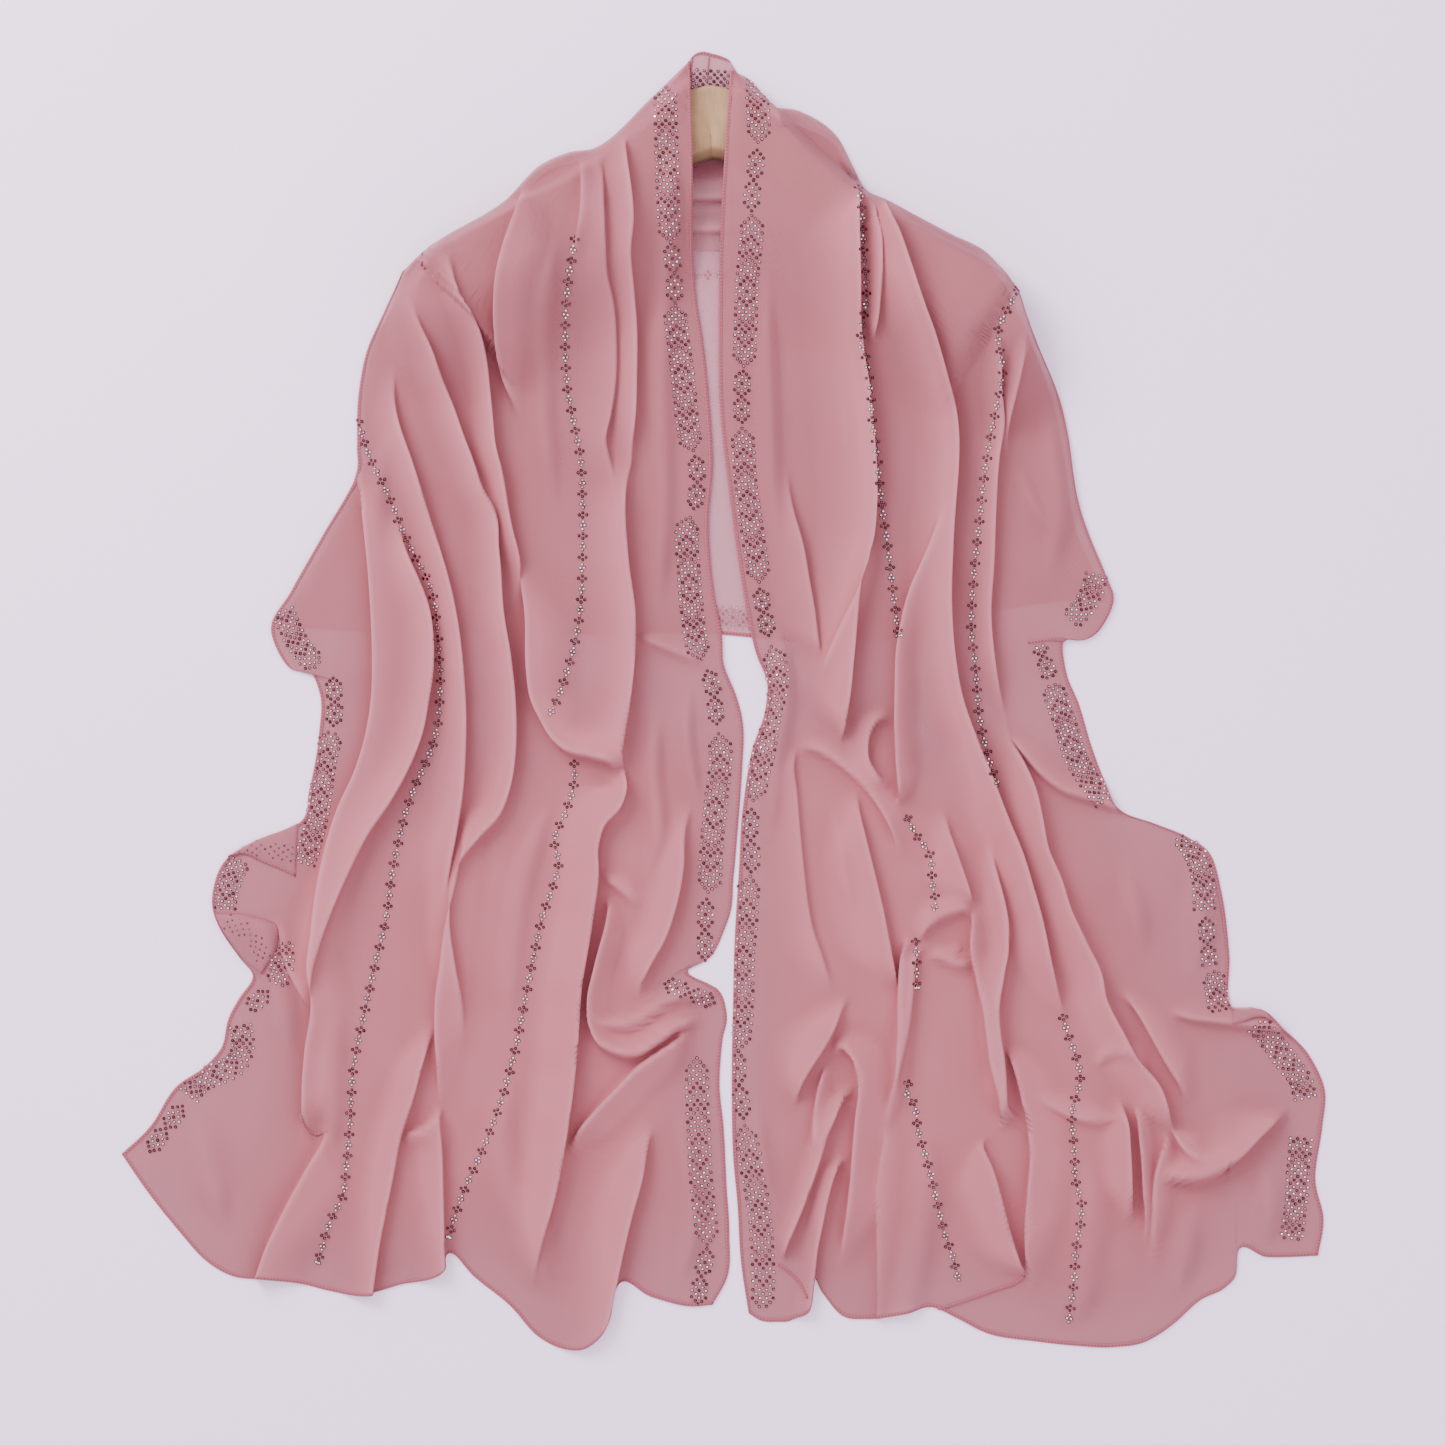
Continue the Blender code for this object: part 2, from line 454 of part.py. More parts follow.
def front_panel(name, top, bottom, start, end, folds, material, collection):
    """A front panel: folds over the hanger above, lying on the back panel and the floor below."""
    plan = panel_plan(PANEL_COLUMNS, PANEL_ROWS, top, bottom, start, end)
    x = plan[..., 0]
    y = plan[..., 1]
    folded = folded_height(x, y, folds, STEEPEST_SIDE)
    height = rest_height(x, y) + arm_height(x, y) + folded
    height[0] = CLOTH_WALL + SEAM_GAP
    return sheet_object(name, plan, height, material, collection)


def back_panel(material, collection):
    """The back, flat on the floor under the hanger and both fronts."""
    u = np.linspace(0, 1, BACK_COLUMNS)
    v = np.linspace(0, 1, BACK_ROWS)
    plan = corner_patch(u, v, BACK_NECK, BACK_HEM, BACK_LEFT_EDGE, BACK_RIGHT_EDGE)
    height = np.zeros(plan.shape[:2])
    return sheet_object("back_panel", plan, height, material, collection)


def neck_pleats(material, collection):
    """Pleated stretch of the back between the two fronts, a seam gap above the flat panel."""
    columns, rows = NECK_SLIP_GRID
    x, y = np.meshgrid(np.linspace(*NECK_SLIP_X, columns), np.linspace(*NECK_SLIP_Y, rows))
    pleats = folded_height(x, y, NECK_PLEATS, NECK_PLEAT_SIDE)
    height = CLOTH_WALL + SEAM_GAP + pleats
    return sheet_object("neck_pleats", np.stack((x, y), axis=-1), height, material, collection)


def hanger_body(material, collection):
    """Shaped wooden arms and head, lofted through rounded sections."""
    samples, directions = path_samples(HANGER_SECTIONS, HANGER_STEPS)
    mesh = bpy.data.meshes.new("hanger")
    loft = bmesh.new()
    rings = []
    for (x, y, half, low, high), (along_x, along_y) in zip(samples, directions):
        deep = high - low
        outline = (
            (-1, low + HANGER_CORNER * deep), (-1, high - HANGER_CORNER * deep),
            (-1 + HANGER_CORNER, high), (1 - HANGER_CORNER, high),
            (1, high - HANGER_CORNER * deep), (1, low + HANGER_CORNER * deep),
            (1 - HANGER_CORNER, low), (-1 + HANGER_CORNER, low),
        )
        ring = []
        for side, z in outline:
            across_x = x - along_y * side * half
            across_y = y + along_x * side * half
            ring.append(loft.verts.new((across_x * MM, across_y * MM, z * MM)))
        rings.append(ring)
    for ring, following in zip(rings, rings[1:]):
        for index in range(len(ring)):
            after = (index + 1) % len(ring)
            loft.faces.new((ring[index], ring[after], following[after], following[index]))
    loft.faces.new(rings[0])
    loft.faces.new(rings[-1])
    bmesh.ops.recalc_face_normals(loft, faces=loft.faces)
    loft.to_mesh(mesh)
    loft.free()
    mesh.materials.append(material)
    hanger = bpy.data.objects.new("hanger", mesh)
    collection.objects.link(hanger)
    return hanger


def build():
    for existing in list(bpy.data.objects):
        bpy.data.objects.remove(existing, do_unlink=True)
    collection = bpy.data.collections.new("chiffon_scarf_on_hanger")
    bpy.context.scene.collection.children.link(collection)
    rose = cloth_material("rose_chiffon", (0.60, 0.31, 0.34))
    rose_inside = cloth_material("rose_chiffon_wrong_side", (0.56, 0.28, 0.31))
    front_panel(
        "left_front", (LEFT_TOP, LEFT_TOP_EASY), (LEFT_HEM, LEFT_HEM_EASY),
        (LEFT_NECK_EDGE, LEFT_NECK_EASY), (LEFT_OUTER_EDGE, LEFT_OUTER_EASY),
        LEFT_FOLDS, rose, collection,
    )
    front_panel(
        "right_front", (RIGHT_TOP, RIGHT_TOP_EASY), (RIGHT_HEM, RIGHT_HEM_EASY),
        (RIGHT_NECK_EDGE, RIGHT_NECK_EASY), (RIGHT_OUTER_EDGE, RIGHT_OUTER_EASY),
        RIGHT_FOLDS, rose, collection,
    )
    back_panel(rose_inside, collection)
    neck_pleats(rose_inside, collection)
    hanger_body(wood_material(), collection)


build()
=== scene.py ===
import math
import bpy
import bmesh
import numpy as np
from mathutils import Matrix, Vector
from mathutils.bvhtree import BVHTree


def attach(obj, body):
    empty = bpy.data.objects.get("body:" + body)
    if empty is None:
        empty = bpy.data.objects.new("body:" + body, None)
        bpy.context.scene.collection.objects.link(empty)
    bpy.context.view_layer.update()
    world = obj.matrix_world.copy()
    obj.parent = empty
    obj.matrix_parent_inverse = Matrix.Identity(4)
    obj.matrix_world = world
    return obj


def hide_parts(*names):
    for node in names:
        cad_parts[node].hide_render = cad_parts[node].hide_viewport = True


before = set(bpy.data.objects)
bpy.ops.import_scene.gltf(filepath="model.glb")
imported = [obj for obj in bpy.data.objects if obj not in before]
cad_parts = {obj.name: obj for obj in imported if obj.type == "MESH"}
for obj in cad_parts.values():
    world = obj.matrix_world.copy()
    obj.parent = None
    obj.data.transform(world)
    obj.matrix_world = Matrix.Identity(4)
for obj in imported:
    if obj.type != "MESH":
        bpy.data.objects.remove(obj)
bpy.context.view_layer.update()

# All tables are in millimetres on the plane that the scarf lies on, +Y towards the neck
mm = 0.001
chance = np.random.default_rng(11)

clothSettings = {
    "columns": 196,          # across a front
    "rows": 248,             # down a front
    "rowCrowding": 1.1,      # above 1, the rows stand closer at the neck
    "tryColumns": 420,       # places across from which the columns are picked
    "wall": 0.4,             # thickness of the chiffon
    "edgeFade": 0.24,        # how far into a panel an edge's own waves reach
    "crowding": 7.0,         # how many more columns stand on a steep side
    "steepest": 2.2,         # slope past which no more columns are added
    "steepReach": 3.4,       # width of a fold's steep side in plan
    "crest": 2.2,            # roundness of a fold's top
    "bow": 1.35,             # how hollow a fold's easy side is
    "nearDark": 0.40,        # painted shade right beside a crease
    "nearReach": 3.0,        # how far that painted shade spreads
    "farDark": 0.29,         # the wider painted shade of a crease
    "shadeReach": 12.0,      # how far that wider painted shade spreads
    "gleamReach": 1.5,       # width of the painted highlight along a fold's top
    "overhang": 0.42,        # how far a fold leans over its steep side, for each mm of height
    "taper": 0.9,            # how much earlier a fold comes and goes, for each mm off its edge
    "doubled": 6.0,          # layers below the middle of a front, counted as mm of fold
    "doubledDark": 0.22,     # how much darker those layers are painted: partly the denser doubled cloth, partly painted shade of the layers beneath
    "creaseLayers": 8.0,     # the same count where a crease is painted dark
    "topEdge": 1.0,          # how high the edge behind the hanger lies
    "flat": (0.36, 0.88),    # size of the flat map in metres
    "unevenness": 1.7,       # slow swells of the laid cloth
}

hangerSettings = {
    # x, y, half depth in plan, underside z, top z
    "sections": (
        (-204, 293, 7, 16, 28), (-199, 297, 13, 13, 33), (-180, 308, 14, 11.5, 33),
        (-142, 330, 14, 8, 29), (-98, 354, 14, 4.5, 23), (-60, 378, 15, 2.4, 18.5),
        (-36, 393, 19, 1.7, 16.5), (-20, 403.5, 24, 1.6, 15), (-10, 409, 26, 1.6, 13),
        (0, 406.5, 25, 1.6, 15), (20, 395, 20, 1.8, 16.5), (50, 372, 15, 2.8, 18.5),
        (100, 333, 14, 5, 24), (150, 305, 14, 9, 30), (178, 290, 14, 11.5, 33),
        (192, 281, 13, 13, 33), (199, 277, 9, 15, 29),
    ),
    "steps": 120,            # rings along both arms
    "roundness": 3.2,        # 2 makes the section an ellipse, more makes it squarer
    "clearance": 2.2,        # between the wood and the cloth over it
    "upperFall": 11.0,       # over which the cloth comes down behind the arms
    "lowerFall": 82.0,       # and in front of them
}

backSettings = {
    "columns": 150,
    "rows": 110,
    "height": 1.0,
    "flat": (0.5, 0.4),      # size of the flat map in metres
    "stoneBand": (0.935, 0.985),     # where the stones darken it, from the neck down
    "leftEdge": (
        (0, -26, 450), (0.10, -60, 408), (0.17, -96, 384), (0.23, -125, 375), (0.30, -150, 350),
        (0.39, -196, 323), (0.45, -218, 303), (0.53, -243, 262), (0.60, -254, 224), (0.72, -255, 162),
        (0.84, -278, 115), (0.94, -303, 72), (1, -315, 52),
    ),
    "rightEdge": (
        (0, 8, 444), (0.09, 34, 415), (0.18, 76, 396), (0.27, 96, 362), (0.36, 134, 341),
        (0.46, 184, 314), (0.54, 208, 277), (0.62, 231, 220), (0.72, 241, 174), (0.84, 250, 120),
        (0.93, 264, 88), (1, 271, 72),
    ),
    "neck": ((0, -26, 450), (0.14, -22, 456.5), (0.3, -16, 460), (0.5, -8, 459), (0.72, 0, 457),
        (0.88, 5, 454), (1, 8, 446)),
    "hem": (
        (0, -315, 52), (0.12, -250, 48), (0.3, -140, 46), (0.53, -2, 46), (0.57, 19, 44),
        (0.70, 100, 40), (0.80, 160, 52), (0.88, 205, 65), (1, 271, 72),
    ),
    "floorEase": (24.0, 52.0),       # how far past its hem the fronts come down to the floor
}

# Each edge row: how far along the edge, then x and y. "easy" is the smooth line through its waves.
# Each fold row: the hand on which it falls steeply as its path runs (1 left, -1 right, 0 neither),
# its height, the reach of its easy side, the lengths over which it comes and goes (0 stays open),
# then its visible edge
leftFront = {
    "name": "left_front_cloth",
    "top": (
        (0, -24, 453), (0.13, -50, 428), (0.32, -92, 391), (0.40, -110, 388), (0.49, -130, 379),
        (0.62, -155, 354), (0.82, -200, 327), (0.91, -215, 316), (1, -228, 303),
    ),
    "easyTop": ((0, -24, 453), (0.5, -128, 378), (1, -228, 303)),
    "start": (
        (0, -24, 453), (0.08, -22, 380), (0.14, -22, 330), (0.19, -20, 288), (0.235, -14, 246),
        (0.28, -10, 204), (0.32, -8, 170), (0.38, -11, 120), (0.43, -7, 75), (0.465, -1, 43),
        (0.485, 0, 25), (0.51, 9, 2), (0.54, 14, -21), (0.57, 13, -50), (0.62, 10, -92), (0.66, 7, -126),
        (0.70, 2, -160), (0.72, -10, -184), (0.735, -26, -194), (0.75, -4, -206), (0.765, 2, -222),
        (0.79, -1, -243), (0.82, -3, -272), (0.86, 0, -305), (0.90, 2, -345), (0.945, 4, -380),
        (0.98, 2, -412), (1, -8, -430),
    ),
    "easyStart": (
        (0, -24, 453), (0.2, -18, 280), (0.4, -8, 100), (0.57, 8, -50), (0.75, 2, -210), (1, -8, -430),
    ),
    "end": (
        (0, -228, 303), (0.06, -240, 276), (0.11, -253, 247), (0.16, -259, 215), (0.22, -260, 180),
        (0.26, -261, 158), (0.31, -285, 115), (0.36, -307, 76), (0.40, -321, 48), (0.43, -308, 22),
        (0.455, -292, 18), (0.47, -287, 6), (0.51, -287, -25), (0.56, -294, -65), (0.60, -301, -88),
        (0.63, -328, -99), (0.66, -351, -112), (0.69, -361, -130), (0.71, -363, -146),
        (0.735, -357, -164), (0.76, -344, -183), (0.785, -334, -197), (0.81, -344, -213),
        (0.835, -352, -229), (0.855, -356, -247), (0.875, -368, -261), (0.90, -387, -274),
        (0.94, -405, -301), (1, -427, -323),
    ),
    "easyEnd": (
        (0, -228, 303), (0.15, -256, 215), (0.3, -270, 120), (0.45, -284, 20), (0.6, -300, -90),
        (0.75, -337, -184), (0.88, -368, -262), (1, -427, -323),
    ),
    "hem": (
        (0, -8, -430), (0.04, -24, -431), (0.10, -52, -424), (0.155, -74, -415), (0.175, -79, -426),
        (0.20, -87, -446), (0.23, -98, -459), (0.27, -114, -461), (0.31, -132, -452),
        (0.36, -152, -430), (0.41, -177, -410), (0.45, -195, -393), (0.475, -202, -406),
        (0.54, -231, -416), (0.60, -257, -423), (0.66, -280, -420), (0.71, -300, -415),
        (0.77, -329, -412), (0.82, -350, -409), (0.86, -367, -399), (0.91, -387, -377), (0.96, -410, -348),
        (1, -427, -323),
    ),
    "easyHem": (
        (0, -8, -430), (0.2, -90, -436), (0.4, -180, -415), (0.6, -262, -418), (0.8, -345, -402),
        (1, -427, -323),
    ),
    "folds": (
        (1, 9, 16, 25, 60, ((-72, 404), (-66, 370), (-63, 340), (-65, 315), (-63, 290), (-61, 262),
            (-61, 230), (-62, 200), (-67, 165), (-69, 140))),
        (1, 11, 32, 60, 12, ((-64, 190), (-69, 150), (-67, 100), (-62, 60), (-62, 35), (-66, -5),
            (-71, -40), (-71, -52))),
        (1, 6, 24, 40, 60, ((-92, 390), (-86, 370), (-84, 345), (-83, 320), (-82, 300), (-78, 280),
            (-76, 250), (-77, 220), (-80, 200), (-83, 186), (-80, 165), (-76, 130))),
        (-1, 7, 12, 15, 40, ((-101, 386), (-101, 360), (-102, 345), (-104, 328), (-106, 300))),
        (-1, 14, 32, 25, 60, ((-139, 368), (-148, 340), (-155, 320), (-160, 300), (-162, 280), (-162, 260),
            (-160, 240), (-156, 225), (-148, 210), (-138, 190))),
        (1, 11, 14, 40, 60, ((-197, 318), (-191, 300), (-185, 285), (-176, 270), (-171, 258), (-167, 240),
            (-165, 220), (-163, 200), (-161, 180), (-156, 160), (-150, 125), (-144, 97), (-147, 60))),
        (1, 11, 18, 70, 60, ((-227, 300), (-222, 280), (-215, 265), (-205, 245), (-198, 225), (-190, 205),
            (-183, 185), (-178, 172), (-170, 150), (-163, 135), (-158, 100), (-155, 60), (-150, 30),
            (-147, 0), (-147, -40), (-150, -60), (-158, -82), (-172, -98), (-185, -120), (-190, -160),
            (-187, -190), (-184, -215), (-186, -250))),
        (1, 10, 20, 50, 50, ((-236, 240), (-232, 205), (-219, 165), (-204, 118), (-191, 72), (-184, 25),
            (-182, -30), (-187, -85), (-197, -125), (-206, -160))),
        (-1, 9, 24, 60, 40, ((-178, -70), (-185, -95), (-195, -130), (-202, -165), (-204, -200),
            (-205, -235), (-203, -265), (-200, -292))),
        (1, 12, 24, 50, 40, ((-236, 140), (-226, 110), (-207, 60), (-205, 20), (-208, 0), (-213, -25),
            (-222, -48), (-235, -72), (-250, -95), (-262, -120), (-274, -150), (-282, -175), (-288, -200),
            (-290, -228))),
        (-1, 11, 26, 30, 25, ((-259, 165), (-256, 130), (-252, 90), (-250, 60), (-249, 20), (-250, 0),
            (-255, -30), (-262, -52), (-275, -80), (-285, -110), (-292, -140), (-296, -165), (-299, -190),
            (-293, -218), (-297, -250), (-299, -280), (-298, -300), (-290, -314))),
        (-1, 5, 12, 20, 15, ((-325, -156), (-318, -160), (-313, -180), (-308, -195), (-300, -210),
            (-291, -222))),
        (-1, 12, 34, 40, 14, ((-146, 100), (-141, 60), (-140, 20), (-137, 0), (-130, -15), (-122, -28),
            (-112, -36), (-96, -40), (-82, -44), (-70, -50))),
        (1, 12, 30, 10, 50, ((-72, -46), (-68, -62), (-72, -76), (-84, -90), (-88, -105), (-88, -125),
            (-91, -150), (-95, -175), (-100, -205), (-102, -235), (-105, -270), (-109, -300), (-113, -325),
            (-118, -350), (-124, -372), (-131, -395), (-138, -424))),
        (-1, 5, 10, 8, 14, ((-86, -124), (-76, -133), (-65, -141), (-54, -146))),
        (1, 9, 22, 40, 20, ((-23, -70), (-27, -92), (-28, -120), (-34, -150), (-41, -170), (-50, -186),
            (-57, -200), (-62, -214))),
        (-1, 11, 12, 15, 25, ((-80, -140), (-84, -160), (-92, -190), (-97, -215), (-96, -230), (-90, -243),
            (-78, -250), (-62, -252), (-45, -243), (-30, -232), (-14, -222))),
        (-1, 5, 8, 10, 12, ((-93, -221), (-85, -230), (-72, -232), (-60, -229), (-48, -221), (-38, -214),
            (-20, -209), (-4, -206))),
        (-1, 9, 22, 15, 20, ((-22, -234), (-30, -240), (-45, -250), (-62, -262), (-78, -278), (-92, -293),
            (-104, -308), (-111, -324))),
        (1, 9, 30, 25, 0, ((-50, -298), (-53, -315), (-57, -340), (-64, -365), (-70, -390), (-76, -418))),
        (-1, 10, 34, 12, 0, ((-279, -303), (-285, -315), (-295, -332), (-305, -350), (-318, -375),
            (-325, -390), (-332, -410))),
        (1, 9, 20, 40, 0, ((-205, -225), (-212, -255), (-220, -285), (-228, -310), (-233, -335),
            (-238, -360), (-243, -385), (-247, -412))),
        (1, 6, 20, 10, 6, ((-230, -313), (-215, -305), (-207, -297), (-199, -291))),
        (1, 9, 18, 8, 0, ((-200, -290), (-199, -320), (-198, -360), (-197, -404))),
        (0, 6, 20, 50, 30, ((-150, -262), (-158, -310), (-152, -350), (-134, -392), (-118, -425))),
        (0, 5, 16, 40, 40, ((-330, -146), (-318, -185), (-312, -225), (-306, -262))),
        (0, 6, 17, 40, 30, ((-374, -295), (-364, -335), (-352, -380))),
        (0, 5, 14, 50, 50, ((-270, -205), (-276, -250), (-278, -300), (-282, -345))),
        (0, 5, 13, 50, 50, ((-34, 400), (-40, 320), (-44, 240), (-43, 160), (-46, 60))),
        (-1, 4, 9, 8, 8, ((-60, 45), (-45, 38), (-30, 32), (-14, 26))),
        (0, 5, 11, 40, 40, ((-46, 0), (-50, -50), (-46, -95), (-56, -135))),
        (0, 4, 9, 30, 30, ((-24, 15), (-26, -30), (-16, -80))),
        (0, 5, 12, 40, 40, ((-32, -290), (-26, -330), (-22, -380), (-34, -420))),
        (0, 5, 14, 50, 50, ((-118, 330), (-126, 270), (-128, 200), (-118, 130))),
        (0, 4, 12, 40, 40, ((-232, 210), (-244, 150), (-240, 90))),
        (0, 4, 14, 40, 40, ((-122, -70), (-140, -120), (-150, -180), (-152, -240))),
    ),
}

